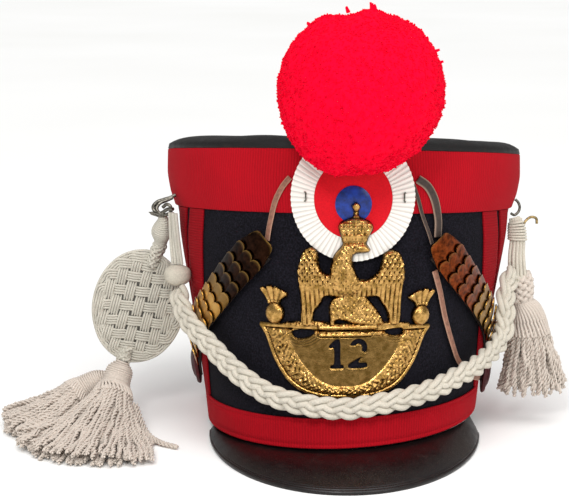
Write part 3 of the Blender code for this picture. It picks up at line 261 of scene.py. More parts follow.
CAMERA_PLACE, CAMERA_AIM = (-0.0022, -1.1002, 0.3451), (-0.0348, 0.9797, -0.1974)
CAMERA_LENS = 105.64
ROOM_LIGHT, DIFFUSER_STRENGTH, DIFFUSER_ANGLE = 0.42, 2.15, math.radians(70.0)
DIFFUSER_TURN = (math.radians(24.0), math.radians(6.0), 0.0)
SOFTBOX_AIM, FLOOR_RADIUS = Vector((0.0, 0.0, 0.12)), 14.0
SOFTBOXES = (("key softbox", (-0.22, -1.3, 0.95), 0.3, 8.5),     # place, size, watts
             ("fill softbox", (0.9, -1.1, 0.6), 0.5, 4))
PLAIT_HALF_WIDTH, PLAIT_DIAMETER, LEFT_CORD_DIAMETER = 7.1 * MM, 12.8 * MM, 3.8 * MM
WEAVE_TURNS, WEAVE_SOFTNESS = (6, 5), 0.975       # turns of the oval's band each way
RAGGED_WAVES = (9, 23, 61, 127)       # of a worn edge, in one turn
GOLDEN_SHARE = 0.618034        # of a turn, from one strand to the next
PATH_STEPS = 200               # of the cords' and tassels' surfaces
OUTLINE_FAR, OUTLINE_MARGIN, OUTLINE_CHUNK = 30.0, 9.0, 6000      # millimetres, and points


def linear(hex_colour):
    """sRGB hex to linear RGB."""
    channels = []
    for start in (0, 2, 4):
        value = int(hex_colour[start:start + 2], 16) / 255.0
        channels.append(value / 12.92 if value <= 0.04045 else ((value + 0.055) / 1.055) ** 2.4)
    return tuple(channels)


# ---- what a user would change

def length_property(name, description, default):
    return FloatProperty(name=name, description=description, default=default, min=0.0,
                         subtype='DISTANCE', unit='LENGTH', precision=5)


def colour_property(name, description, hex_colour):
    return FloatVectorProperty(name=name, description=description, default=linear(hex_colour),
                               size=3, min=0.0, max=1.0, subtype='COLOR')


class ShakoSizes(bpy.types.PropertyGroup):
    """Sizes of the details."""
    rib_spacing: length_property("Rib spacing", "Between the ribs of the red cloth", 1.9 * MM)
    felt_fuzz: length_property("Felt fuzz", "Size of the felt's matted hairs", 1.1 * MM)
    pleats: IntProperty(name="Pleats", description="Folds round the white cockade ring",
                        default=72, min=12, max=160)
    pleat_depth: length_property("Pleat depth", "How far each fold stands up", 0.5 * MM)
    relief_cell: length_property("Relief detail", "Mesh spacing of the stamped plate", 0.5 * MM)
    plait_cord: length_property("Plait cord radius", "Radius of each cord of the plait", 2.05 * MM)
    plait_period: length_property("Plait period", "Length of one turn of the plait", 34.0 * MM)
    raquette_cord: length_property("Raquette cord radius", "Each woven cord", 0.875 * MM)
    strand_radius: length_property("Strand radius", "Each strand of the tassels", 1.3 * MM)
    strands: IntProperty(name="Strands", description="Strands of a tassel", default=125,
                         min=20, max=300)
    ply_length: length_property("Ply length", "One turn of a yarn's two plies", 6.8 * MM)
    tuft_length: length_property("Tuft length", "Wool ends of the pompom", 0.85 * MM)
    tuft_density: FloatProperty(name="Tuft density", description="Wool ends per square metre",
                                default=290000.0, min=0.0)


class ShakoColours(bpy.types.PropertyGroup):
    """Colours of the finishes."""
    felt: colour_property("Felt", "Blue-black wool felt", "0C0B10")
    cloth: colour_property("Red cloth", "Ribbed wool cloth of the bands", "A60818")
    leather: colour_property("Leather", "Black leather of the crown", "0B0909")
    visor: colour_property("Visor", "Brown-black polished leather", "100A0A")
    lace: colour_property("Lace", "Worn leather laces", "8A5F4C")
    brass: colour_property("Brass", "Stamped plate", "CA9C4E")
    copper: colour_property("Aged brass", "Dark upper scales", "642C10")
    steel: colour_property("Steel", "Wire hooks", "77736A")
    cotton: colour_property("Cotton", "Off-white cord", "CEC7B8")
    wool: colour_property("Wool", "Pompom", "EA002A")
    white: colour_property("White", "Pleated cockade ring", "E9E5DD")
    red: colour_property("Red", "Cockade ring", "CC1220")
    blue: colour_property("Blue", "Cockade centre", "0B2E80")


def sizes():
    return bpy.context.scene.shako_sizes


# ---- nodes and materials

def add_node(tree, kind, inputs=None, **settings):
    """Add a node, set its attributes, and link or set its inputs by name or number."""
    node = tree.nodes.new(kind)
    for name, value in settings.items():
        setattr(node, name, value)
    for key, value in (inputs or {}).items():
        if isinstance(value, bpy.types.Node):
            value = next(socket for socket in value.outputs if socket.enabled)
        if isinstance(value, bpy.types.NodeSocket):
            tree.links.new(value, node.inputs[key])
        else:
            node.inputs[key].default_value = value
    return node


def rgba(colour):
    """A colour that a user can change, by its name, or an sRGB hex value."""
    chosen = getattr(bpy.context.scene.shako_colours, colour, None)
    return (*(linear(colour) if chosen is None else chosen), 1.0)


def shade(base, factor):
    """A darker or lighter version of a colour."""
    return (*(min(channel * factor, 1.0) for channel in base[:3]), 1.0)


def layered(name, base, patterns, tones, relief, gloss=None, **sockets):
    """A material from patterns: tones laid over one another, relief, and changing gloss.

    Patterns are keyed by their name here: "ribs" and "pebbles" have a size, a noise has a size,
    its detail and its roughness, and an attribute of the mesh has its own name.  A tone is a
    colour, or a number that darkens or lightens the base.  The first tone lies under the others,
    which are (pattern, none at, most at, most, tone).
    """
    surface = bpy.data.materials.new(name)
    surface.use_nodes = True
    surface.diffuse_color = base
    tree = surface.node_tree
    shader = tree.nodes["Principled BSDF"]
    for socket, value in {"Base_Color": base, **sockets}.items():
        shader.inputs[socket.replace("_", " ")].default_value = value
    where = add_node(tree, 'ShaderNodeTexCoord').outputs["Object"]
    made = {}
    for key, pattern in patterns.items():
        if isinstance(pattern, str):
            made[key] = add_node(tree, 'ShaderNodeAttribute', attribute_name=pattern)
        elif key == "ribs":        # a wave's bands are a tenth of pi apart at a scale of 1
            place = add_node(tree, 'ShaderNodeUVMap', uv_map="UVMap")
            made[key] = add_node(tree, 'ShaderNodeTexWave', {
                "Vector": place, "Scale": math.pi / 10.0 / pattern})
        elif key == "pebbles":
            made[key] = add_node(tree, 'ShaderNodeTexVoronoi', {
                "Vector": where, "Scale": 1.0 / pattern}, feature='DISTANCE_TO_EDGE')
        else:
            size, detail, roughness = pattern
            made[key] = add_node(tree, 'ShaderNodeTexNoise', {
                "Vector": where, "Scale": 1.0 / size, "Detail": detail, "Roughness": roughness})
    below, *over = [shade(base, tone) if isinstance(tone, float) else tone
                    for tone in (tones[0], *(layer[-1] for layer in tones[1:]))]
    for (key, none_at, most_at, most, _), tone in zip(tones[1:], over):
        share = add_node(tree, 'ShaderNodeMapRange', {
            "Value": made[key], "From Min": none_at, "From Max": most_at, "To Max": most})
        below = add_node(tree, 'ShaderNodeMix', {0: share, 6: below, 7: tone}, data_type='RGBA')
    tree.links.new(below.outputs[2], shader.inputs["Base Color"])
    if gloss:
        key, low, high, at_low, at_high = gloss
        share = add_node(tree, 'ShaderNodeMapRange', {
            "Value": made[key], "From Min": low, "From Max": high, "To Min": at_low,
            "To Max": at_high})
        tree.links.new(share.outputs[0], shader.inputs["Roughness"])
    normal = {}
    for key, depth, strength in relief:
        normal = {"Normal": add_node(tree, 'ShaderNodeBump', {
            "Height": made[key], "Distance": depth, "Strength": strength, **normal})}
    if normal:
        tree.links.new(normal["Normal"].outputs[0], shader.inputs["Normal"])
    return surface


def felt_surface():
    # Pressed wool felt: matt blue-black with matted hairs, rubbed a little lighter in patches.
    return layered("pressed wool felt", rgba("felt"),
                   {"hairs": (sizes().felt_fuzz, 5.0, 0.7), "rubbed": (18 * MM, 4.0, 0.6)},
                   (0.6, ("hairs", 0.42, 0.68, 1.0, 4.0), ("rubbed", 0.45, 0.75, 0.45, 2.6)),
                   (("hairs", 0.5 * MM, 0.7),), Roughness=0.96, Specular_IOR_Level=0.12)


def ribbed_cloth_surface(where, depth):
    # Woven wool braid: raised ribs (drawn a little coarse, to show), crimson, matt, worn paler;
    # painted shade darkens the grooves between the ribs.
    # a depth below one gives a darker copy of the cloth: painted shade
    return layered("ribbed wool braid " + where, shade(rgba("cloth"), depth),
                   {"ribs": sizes().rib_spacing, "fibre": (0.9 * MM, 3.0, 0.55),
                    "wear": (26 * MM, 4.0, 0.6)},
                   # painted shade: the grooves between the ribs darken to 0.8 of the cloth
                   (0.8, ("ribs", 0.0, 1.0, 1.0, 1.06), ("fibre", 0.3, 0.7, 0.35, 0.66),
                    ("wear", 0.4, 0.75, 0.3, 1.25)),
                   (("ribs", 0.22 * MM, 0.6), ("fibre", 0.15 * MM, 0.5)),
                   Roughness=0.9, Specular_IOR_Level=0.12)


def leather_surface(name, base, roughness, worn, scuff=0.4, grain=1.1 * MM, coat=0.0):
    # Vegetable-tanned leather, blacked and polished: pebbled grain, scuffs that show the hide.
    return layered(name, rgba(base),
                   {"pebbles": grain, "scuffs": (7 * MM, 6.0, 0.65),
                    "blotch": (30 * MM, 3.0, 0.55)},
                   (1.0, ("blotch", 0.35, 0.7, 1.0, 1.4),
                    ("scuffs", 0.55, 0.78, scuff, rgba(worn))),
                   (("pebbles", 0.4 * MM, 0.4), ("scuffs", 0.3 * MM, 0.3)),
                   ("scuffs", 0.3, 0.75, roughness - 0.06, roughness + 0.2),
                   Roughness=roughness, Coat_Weight=coat, Coat_Roughness=0.25,
                   Specular_IOR_Level=0.3)


def lace_surface(name, base, edge):
    # Cut leather lace: rubbed face and paler cut edges.
    return layered(name, rgba(base), {"streak": (2.2 * MM, 4.0, 0.6), "rim": "across"},
                   (0.55, ("streak", 0.3, 0.7, 1.0, 1.2), ("rim", 0.55, 0.95, 1.0, rgba(edge))),
                   (("streak", 0.25 * MM, 0.5),), Roughness=0.6, Specular_IOR_Level=0.35)


def cotton_surface(name, base):
    # Soft off-white cotton: matt and fuzzy, greyed where dust has settled, and painted nearly
    # black as shade where a mesh is marked so, as on the sheet behind a weave.
    return layered(name, rgba(base), {"fuzz": (0.9 * MM, 3.0, 0.6), "dust": (14 * MM, 4.0, 0.6),
                                      "within": "painted_dark_and_oxide"},
                   (0.76, ("fuzz", 0.3, 0.65, 1.0, 1.0), ("dust", 0.4, 0.7, 0.6, 0.78),
                    # painted shade: marked points go to 0.12 of the cotton
                    ("within", 0.0, 1.0, 1.0, 0.12)),
                   (("fuzz", 0.35 * MM, 0.7),), Roughness=0.92, Sheen_Weight=0.1,
                   Sheen_Roughness=0.5, Specular_IOR_Level=0.25)


def wool_surface():
    # Cut wool of the pompom: saturated red, very matt, slightly darker between the ends.
    return layered("cut wool", rgba("wool"),
                   {"ends": (1.3 * MM, 4.0, 0.65), "broad": (20 * MM, 3.0, 0.55)},
                   (0.88, ("ends", 0.3, 0.6, 1.0, 1.05), ("broad", 0.4, 0.7, 0.4, 1.2)),
                   (("ends", 0.4 * MM, 0.4),), Roughness=0.95, Specular_IOR_Level=0.08)


def pleated_surface():
    # Goffered white tape: chalky, greyed by painted shade down in the folds.
    return layered("goffered white tape", rgba("white"),
                   {"fibre": (0.8 * MM, 3.0, 0.55), "fold": "painted_dark_and_oxide"},
                   (1.0, ("fold", 0.35, 1.0, 0.8, 0.55)), (("fibre", 0.12 * MM, 0.5),),
                   Roughness=0.75, Specular_IOR_Level=0.3)


def plain_cloth_surface(name, base):
    # Fine facing cloth, milled smooth: an even matt colour with a faint nap.
    return layered(name, rgba(base), {"nap": (1.0 * MM, 4.0, 0.65)},
                   (0.82, ("nap", 0.3, 0.7, 1.0, 1.08)), (("nap", 0.15 * MM, 0.5),),
                   Roughness=0.85, Specular_IOR_Level=0.15)


def enamel_surface():
    # Blue varnished disc: gloss over a clouded colour, partly real clouding and partly painted
    # reflection in its lighter patches.
    return layered("varnished blue disc", rgba("blue"), {"cloud": (5 * MM, 3.0, 0.6)},
                   # lighter patches: partly painted reflection
                   (0.5, ("cloud", 0.35, 0.66, 1.0, 1.5)), (("cloud", 0.6 * MM, 0.4),),
                   Roughness=0.34, Coat_Weight=0.08, Coat_Roughness=0.1, Specular_IOR_Level=0.3)


def brass_surface():
    # Stamped brass: gilt highs rubbed bright, brown oxide left in the recesses and a painted dark
    # reflection over the flat field, hammered skin.
    return layered("stamped brass", rgba("brass"),
                   {"mottle": (4 * MM, 5.0, 0.65), "oxide_and_painted_reflection": "painted_dark_and_oxide", "skin": (0.9 * MM, 3.0, 0.6)},
                   (0.45, ("mottle", 0.36, 0.7, 1.0, rgba("DCAE6A")),
                    ("oxide_and_painted_reflection", 0.05, 0.85, 0.95, rgba("36280E"))),
                   (("skin", 0.2 * MM, 0.9),), ("mottle", 0.3, 0.7, 0.32, 0.15),
                   Roughness=0.24, Metallic=1.0)


def scale_surface(side, tarnish, deepen, brighten):
    # Brass chinscales: bright towards the ear, browned and coppery towards the tied-up end, with a
    # painted highlight along each free edge.
    dark = shade(rgba(tarnish), deepen)
    return layered("chinscale brass " + side, shade(rgba("brass"), brighten),
                   {"mottle": (3.5 * MM, 4.0, 0.6), "untarnished_and_painted_highlight": "tone"},
                   (shade(dark, 0.3), ("mottle", 0.35, 0.7, 1.0, shade(dark, 1.5)),
                    ("untarnished_and_painted_highlight", 0.0, 1.0, 1.0, 1.0)),
                   (("mottle", 0.25 * MM, 0.3),), Roughness=0.3, Metallic=1.0)


def wire_surface(name, base, roughness):
    # Drawn wire, a little tarnished along its length.
    return layered(name, rgba(base), {"tarnish": (1.6 * MM, 4.0, 0.55)},
                   (0.4, ("tarnish", 0.35, 0.7, 1.0, 1.3)), (("tarnish", 0.1 * MM, 0.4),),
                   Roughness=roughness, Metallic=1.0)


def floor_surface():
    # Painted studio floor: nearly white and matt, so that it only takes soft shadows.
    return layered("pale studio floor", rgba("FAFAF8"), {"cloud": (0.8, 2.0, 0.5)},
                   (rgba("F8F8F6"), ("cloud", 0.3, 0.7, 1.0, rgba("FDFDFC"))), (), Roughness=0.9)


FINISHES = {
    "floor": (floor_surface,),
    "felt": (felt_surface,),
    "cloth": (ribbed_cloth_surface, "of the bands", 1.0),
    # painted shade: the tapes' cloth is the bands' cloth darkened to 0.72, for the shade on the
    # hat's sides
    "tape": (ribbed_cloth_surface, "of the tapes", 0.72),
    "leather": (leather_surface, "blacked leather", "leather", 0.55, "3A302A"),
    "visor": (leather_surface, "polished visor leather", "visor", 0.34, "33241E", 0.3, 1.4 * MM,
              0.12),
    "boss": (leather_surface, "reddened boss leather", "3A0F12", 0.5, "8E2430"),
    "strap": (leather_surface, "dark strap leather", "1A120E", 0.6, "6B4A36"),
    "lace": (lace_surface, "brown leather lace", "lace", "B08A74"),
    "lace grey": (lace_surface, "greyed leather lace", "3A2E28", "98806E"),
    "cotton": (cotton_surface, "braided cotton cord", "cotton"),
    "grey cotton": (cotton_surface, "greyed cotton cord", "C8C3B6"),
    "yarn": (cotton_surface, "two-ply cotton yarn", "D2C6BA"),
    "cotton plain": (plain_cloth_surface, "smooth wound thread", "C0B9AA"),
    "wool": (wool_surface,),
    "white": (pleated_surface,),
    "red": (plain_cloth_surface, "milled red facing cloth", "red"),
    "blue": (enamel_surface,),
    "brass": (brass_surface,),
    "scales left": (scale_surface, "left", "22120A", 1.0, 0.9),
    "scales right": (scale_surface, "right", "copper", 1.35, 0.5),
    "steel": (wire_surface, "tarnished steel wire", "steel", 0.34),
    "gilt wire": (wire_surface, "brass wire", "A58E62", 0.32),
}
SURFACES = {}


def surface_of(name):
    """One of the finishes, made when it is first asked for."""
    if name not in SURFACES:
        make, *values = FINISHES[name]
        SURFACES[name] = make(*values)
    return SURFACES[name]


# ---- the hat's surface

FINE_HEIGHTS = np.linspace(0, HEIGHT + 1.0 * MM, 400)


def bell(width):
    """Smoothing weights that add up to one."""
    weights = np.hanning(width)
    return weights / weights.sum()


FINE_WIDTHS = np.convolve(
    np.pad(np.interp(FINE_HEIGHTS, *FELT_PROFILE.T), 11, mode='reflect', reflect_type='odd'),
    bell(23), mode='valid')


def from_hat(points):
    """The hat's own frame to the shared one."""
    x, y, z = np.moveaxis(np.asarray(points, float), -1, 0)
    cos, sin = math.cos(LEAN), math.sin(LEAN)
    return np.stack((x + SHIFT_X, y * cos + z * sin + SHIFT_Y, -y * sin + z * cos + RISE), -1)


def from_table(points):
    return np.asarray(points, float) + (SHIFT_X, SHIFT_Y, 0.0)


def raised(x, y, height):
    share = np.clip(height / HEIGHT, 0, 1)
    rim = RIM_RISE_BACK * y + RIM_RISE_RIGHT * x
    crown = CROWN_TURN * x - CROWN_LEAN_BACK * y - CROWN_SETTLE
    return height + (1 - share) * rim - share * TOP_FALL_RIGHT * x + share ** 3 * crown


def hat_frame_point(azimuth, height, lift=0.0):
    azimuth, height, lift = np.broadcast_arrays(azimuth, height, lift)
    share = np.clip(height / HEIGHT, 0, 1)
    across = np.interp(height, FINE_HEIGHTS, FINE_WIDTHS)
    deep = across * (RIM_DEPTH_RATIO * (1 - share) + share) + lift
    across = across + lift
    turn = np.radians(azimuth)
    radius = across * deep / np.hypot(deep * np.sin(turn), across * np.cos(turn))
    x, y = radius * np.sin(turn), -radius * np.cos(turn)
    return np.stack((x, y, raised(x, y, height)), -1)


def on_hat(azimuth, height, lift=0.0):
    """Points on the felt, or that far outside it, in the shared frame."""
    return from_hat(hat_frame_point(azimuth, height, lift))


def wrap(across, up, lift, azimuth, height):
    """Lay flat drawing points on the hat, centred at an azimuth and a height."""
    level = height + up
    reach = np.linalg.norm(hat_frame_point(azimuth, level)[..., :2], axis=-1)
    return on_hat(azimuth + np.degrees(across / reach), level, lift)


def unit(vectors):
    return vectors / np.maximum(np.linalg.norm(vectors, axis=-1, keepdims=True), 1e-12)


def smooth_line(points, samples):
    """Evenly spaced points of a Catmull-Rom curve; columns past the third ride along."""
    points = np.asarray(points, float)
    padded = np.vstack((2 * points[0] - points[1], points, 2 * points[-1] - points[-2]))
    t = np.linspace(0, 1, 16, endpoint=False)[:, None]
    spans = [0.5 * (2 * b + (c - a) * t + (2 * a - 5 * b + 4 * c - d) * t ** 2
                    + (3 * b - a - 3 * c + d) * t ** 3)
             for a, b, c, d in zip(padded, padded[1:], padded[2:], padded[3:])]
    return respaced(np.vstack(spans + [points[-1:]]), samples)


def table_line(points, samples):
    """A smooth line through points of the table's frame, in millimetres."""
    return smooth_line(from_table(np.array(points) * MM), samples)


def once_round(count):
    """Evenly spaced angles once round."""
    return math.tau * np.arange(count) / count


def distances(line):
    """How far along a line each of its points is."""
    return np.concatenate(([0.0], np.cumsum(np.linalg.norm(np.diff(line[:, :3], axis=0),
                                                           axis=1))))


def respaced(fine, samples):
    lengths = distances(fine)
    want = np.linspace(0, lengths[-1], samples)
    return np.stack([np.interp(want, lengths, column) for column in fine.T], -1)


def path_length(line):
    return float(distances(np.asarray(line))[-1])


def unevenness(points, size, seed, waves=28):
    """Smooth random bumps about that far apart, mostly between -1 and 1."""
    rng = np.random.default_rng(seed)
    numbers = unit(rng.normal(size=(waves, 3))) * (math.tau / size
                                                   * rng.uniform(0.6, 1.5, (waves, 1)))
    phase = rng.uniform(0.0, math.tau, waves)
    return np.cos(points @ numbers.T + phase).sum(-1) / math.sqrt(waves)


# ---- meshes

def mesh_of(name, points, faces):
    mesh = bpy.data.meshes.new(name)
    mesh.from_pydata(np.asarray(points).reshape(-1, 3).tolist(), [], faces)
    return mesh


def corners(grid, axis=-1):
    """The four corners of every cell of a grid."""
    return np.stack((grid[:-1, :-1], grid[:-1, 1:], grid[1:, 1:], grid[1:, :-1]), axis)


def grid_mesh(name, rows, ring=False, closed=False):
    """Quads through rows of points, with a UV map of real lengths along and up the rows."""
    full = np.asarray(rows, float)
    index = np.arange(full[..., 0].size).reshape(full.shape[:2])
    points = full.reshape(-1, 3)
    if ring:
        index, full = (np.concatenate((grid, grid[:, :1]), axis=1) for grid in (index, full))
    if closed:
        index, full = (np.concatenate((grid, grid[:1])) for grid in (index, full))
    along, up = distances(full[len(full) // 2]), distances(full[:, full.shape[1] // 2])
    uv = np.stack(np.meshgrid(along, up), -1)
    mesh = mesh_of(name, points, corners(index).reshape(-1, 4).tolist())
    mesh.uv_layers.new(name="UVMap").data.foreach_set("uv", corners(uv, 2).ravel())
    return mesh


def poured(shape, mesh):
    """Put a bmesh into a mesh, and let it go."""
    shape.to_mesh(mesh)
    shape.free()
    return mesh


def tidy(mesh, merge=0.0, fill=True):
    """Merge doubles, close holes and turn the faces out."""
    shape = bmesh.new()
    shape.from_mesh(mesh)
    if merge:
        bmesh.ops.remove_doubles(shape, verts=shape.verts, dist=merge)
        bmesh.ops.dissolve_degenerate(shape, edges=shape.edges, dist=merge * 0.5)
    if fill:
        open_edges = [edge for edge in shape.edges if edge.is_boundary]
        bmesh.ops.holes_fill(shape, edges=open_edges, sides=0)
    bmesh.ops.recalc_face_normals(shape, faces=shape.faces)
    return poured(shape, mesh)


def joined(name, meshes):
    """One mesh of several."""
    shape = bmesh.new()
    for mesh in meshes:
        shape.from_mesh(mesh)
        bpy.data.meshes.remove(mesh)
    return poured(shape, bpy.data.meshes.new(name))


def point_attribute(mesh, name, values):
    layer = mesh.attributes.new(name, 'FLOAT', 'POINT')
    layer.data.foreach_set("value", np.asarray(values, np.float32).ravel())


def evaluated(item):
    """The modified mesh of an object, as a plain mesh; the object goes."""
    graph = bpy.context.evaluated_depsgraph_get()
    mesh = bpy.data.meshes.new_from_object(item.evaluated_get(graph),
                                           preserve_all_data_layers=True, depsgraph=graph)
    bpy.data.objects.remove(item, do_unlink=True)
    return mesh


def holder(name, data):
    """A new object in the scene."""
    item = bpy.data.objects.new(name, data)
    bpy.context.scene.collection.objects.link(item)
    return item


def thicken(mesh, thickness, bevel=0.0):
    """Give an outer sheet its thickness inward, and round its edges."""
    outward = sum(face.normal.x * face.center.x + face.normal.y * (face.center.y - SHIFT_Y)
                  for face in mesh.polygons)
    if outward < 0.0:
        mesh.flip_normals()
    item = holder("sheet", mesh)
    change = item.modifiers.new("thickness", 'SOLIDIFY')
    change.thickness, change.offset = thickness, -1.0
    if bevel:
        change = item.modifiers.new("edges", 'BEVEL')
        change.width, change.segments = bevel, 2
        change.limit_method, change.angle_limit = 'ANGLE', math.radians(50.0)
    return evaluated(item)


def piece(name, mesh, finish, nodes=(), sharp=None):
    """Put a finished mesh in the scene, as a piece that stands for CAD nodes."""
    mesh.name = name
    mesh.materials.clear()
    mesh.materials.append(surface_of(finish))
    mesh.shade_smooth()
    if sharp:
        mesh.set_sharp_from_angle(angle=math.radians(sharp))
    item = holder(name, mesh)
    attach(item, BODY)
    if nodes:
        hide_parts(*nodes)


def run_nodes(mesh, tree, **inputs):
    """Run a Geometry Nodes tree on a mesh and return the plain result."""
    item = holder("host", mesh)
    change = item.modifiers.new("nodes", 'NODES')
    change.node_group = tree
    for socket in tree.interface.items_tree:
        if socket.in_out == 'INPUT' and socket.name.lower() in inputs:
            change[socket.identifier] = inputs[socket.name.lower()]
    return evaluated(item)


def node_tree(name, sockets):
    """An empty Geometry Nodes tree with named inputs: returns it and its input node."""
    tree = bpy.data.node_groups.new(name, 'GeometryNodeTree')
    for label, kind in (("Geometry", "Geometry"), *sockets, ("Material", "Material")):
        tree.interface.new_socket(name=label, in_out='INPUT', socket_type="NodeSocket" + kind)
    tree.interface.new_socket(name="Geometry", in_out='OUTPUT',
                              socket_type="NodeSocketGeometry")
    return tree, add_node(tree, 'NodeGroupInput')


def finish_tree(tree, source, geometry):
    """End a tree in Realize Instances and Set Material."""
    real = add_node(tree, 'GeometryNodeRealizeInstances', {0: geometry})
    painted = add_node(tree, 'GeometryNodeSetMaterial', {
        "Geometry": real, "Material": source.outputs["Material"]})
    add_node(tree, 'NodeGroupOutput', {0: painted})
    return tree


def cord_tree():
    """Edges become round cords, thinner or thicker where the attribute "thick" says so."""
    tree, source = node_tree("cord along its path", (("Radius", "Float"), ("Sides", "Int")))
    line = add_node(tree, 'GeometryNodeMeshToCurve', {0: source.outputs[0]})
    thick = add_node(tree, 'GeometryNodeInputNamedAttribute', {"Name": "thick"},
                     data_type='FLOAT')
    ring = add_node(tree, 'GeometryNodeCurvePrimitiveCircle', {
        "Resolution": source.outputs["Sides"], "Radius": source.outputs["Radius"]})
    skin = add_node(tree, 'GeometryNodeCurveToMesh', {
        "Curve": line, "Profile Curve": ring, "Scale": thick, "Fill Caps": True})
    return finish_tree(tree, source, skin)


def tuft_tree():
    """Short tapered ends of wool over a mesh, leaning at random off its normals."""
    tree, source = node_tree("cut ends of wool", (
        ("Density", "Float"), ("Length", "Float"), ("Thickness", "Float"), ("Lean", "Float"),
        ("Seed", "Int")))
    spread = add_node(tree, 'GeometryNodeDistributePointsOnFaces', {
        "Mesh": source.outputs[0], "Density": source.outputs["Density"],
        "Seed": source.outputs["Seed"]})
    jitter = add_node(tree, 'FunctionNodeRandomValue', {
        0: (-1.0, -1.0, -1.0), 1: (1.0, 1.0, 1.0), 8: 3}, data_type='FLOAT_VECTOR')
    leaning = add_node(tree, 'ShaderNodeVectorMath', {
        0: jitter.outputs[0], "Scale": source.outputs["Lean"]}, operation='SCALE')
    aim = add_node(tree, 'ShaderNodeVectorMath', {0: leaning, 1: spread.outputs["Normal"]},
                   operation='ADD')
    turned = add_node(tree, 'FunctionNodeAlignRotationToVector', {"Vector": aim}, axis='Z')
    scale = add_node(tree, 'FunctionNodeRandomValue', {2: 0.55, 3: 1.25, 8: 5},
                     data_type='FLOAT')
    tip = add_node(tree, 'ShaderNodeMath', {0: source.outputs["Thickness"], 1: 0.45},
                   operation='MULTIPLY')
    end = add_node(tree, 'GeometryNodeMeshCone', {
        "Vertices": 3, "Side Segments": 1, "Radius Top": tip.outputs[0],
        "Radius Bottom": source.outputs["Thickness"], "Depth": source.outputs["Length"]},
        fill_type='NGON')
    ends = add_node(tree, 'GeometryNodeInstanceOnPoints', {
        "Points": spread.outputs["Points"], "Instance": end.outputs["Mesh"],
        "Rotation": turned, "Scale": scale.outputs[1]})
    both = add_node(tree, 'GeometryNodeJoinGeometry', {0: source.outputs[0]})
    tree.links.new(ends.outputs[0], both.inputs[0])
    return finish_tree(tree, source, both)


def swept(name, lines, radius, sides, finish, thick=None):
    """Round cords along lines of points, as one plain mesh."""
    edges, start = [], 0
    for line in lines:
        edges.extend((k, k + 1) for k in range(start, start + len(line) - 1))
        start += len(line)
    host = bpy.data.meshes.new(name)
    host.from_pydata(np.vstack([line[:, :3] for line in lines]).tolist(), edges, [])
    point_attribute(host, "thick", np.ones(start) if thick is None else np.concatenate(thick))
    tree = bpy.data.node_groups.get("cord along its path") or cord_tree()
    return run_nodes(host, tree, radius=float(radius), sides=int(sides),
                     material=surface_of(finish))


# ---- stage

def aimed(item, place, direction):
    item.location = place
    item.rotation_euler = direction.to_track_quat('-Z', 'Y').to_euler()
    return item


def build_stage():
    """Pale floor, soft studio light, and the camera at the photograph's angle."""
    scene = bpy.context.scene
    shape = bmesh.new()
    bmesh.ops.create_circle(shape, cap_ends=True, segments=96, radius=FLOOR_RADIUS)
    mesh = poured(shape, bpy.data.meshes.new("floor"))
    mesh.materials.append(surface_of("floor"))
    holder("floor", mesh)

    scene.world = bpy.data.worlds.new("pale studio")
    scene.world.use_nodes = True
    back = scene.world.node_tree.nodes["Background"]
    back.inputs["Color"].default_value = (1.0, 1.0, 1.0, 1.0)
    back.inputs["Strength"].default_value = ROOM_LIGHT
    scene.view_settings.view_transform = 'Standard'

    sun = bpy.data.lights.new("overhead diffuser", 'SUN')
    sun.energy, sun.angle = DIFFUSER_STRENGTH, DIFFUSER_ANGLE
    holder(sun.name, sun).rotation_euler = DIFFUSER_TURN
    for name, place, size, power in SOFTBOXES:
        lamp = bpy.data.lights.new(name, 'AREA')
        lamp.size, lamp.energy = size, power
        aimed(holder(name, lamp), place, SOFTBOX_AIM - Vector(place))

    lens = bpy.data.cameras.new("photograph's view")
    lens.lens, lens.clip_start, lens.clip_end = CAMERA_LENS, 0.05, 60.0
    scene.camera = aimed(holder(lens.name, lens), CAMERA_PLACE, Vector(CAMERA_AIM))


# ---- felt, leather and cloth

def hoop(name, profile, columns, ragged=0.0):
    """A closed band round the hat from a closed loop of (height, lift) in millimetres."""
    azimuth = 180.0 + 360.0 * np.arange(columns) / columns
    heights, lifts = (np.array(profile) * MM).T[..., None]
    wave = np.zeros(columns)
    if ragged:
        rng = np.random.default_rng(4)
        for count in RAGGED_WAVES:
            wave += np.sin(np.radians(azimuth) * count + rng.uniform(0, 6.3)) / count ** 0.4
    near = np.clip((heights - heights.max() + 2 * MM) / (2 * MM), 0, 1)
    rows = on_hat(azimuth[None], heights + near * wave * ragged, lifts)
    return grid_mesh(name, rows, ring=True, closed=True)


def banded_profile(foot, top, inner, outer, groove):
    """Cross-section of a cloth band: rounded edges, and a sewn line near each."""
    steps = [(foot, inner + 0.2), (foot, outer - 0.4), (foot + 0.25, outer - 0.1),
             (foot + 0.7, outer)]
    if groove:
        for level in (foot + 2.4, top - 2.4):
            steps += [(level - 0.5, outer), (level, outer - 0.4), (level + 0.5, outer)]
            if level < top / 2:
                steps += [(level + (top - foot - 4.8) * k / 4, outer) for k in (1, 2, 3)]
    else:
        steps += [(foot + (top - foot) * k / 12, outer) for k in range(1, 12)]
    steps += [(top - 0.7, outer), (top - 0.25, outer - 0.1), (top, outer - 0.4),
              (top, inner + 0.2), (top - 0.3, inner)]
    steps += [(foot + (top - foot) * k / 4, inner) for k in (3, 2, 1)]
    return steps + [(foot + 0.3, inner)]


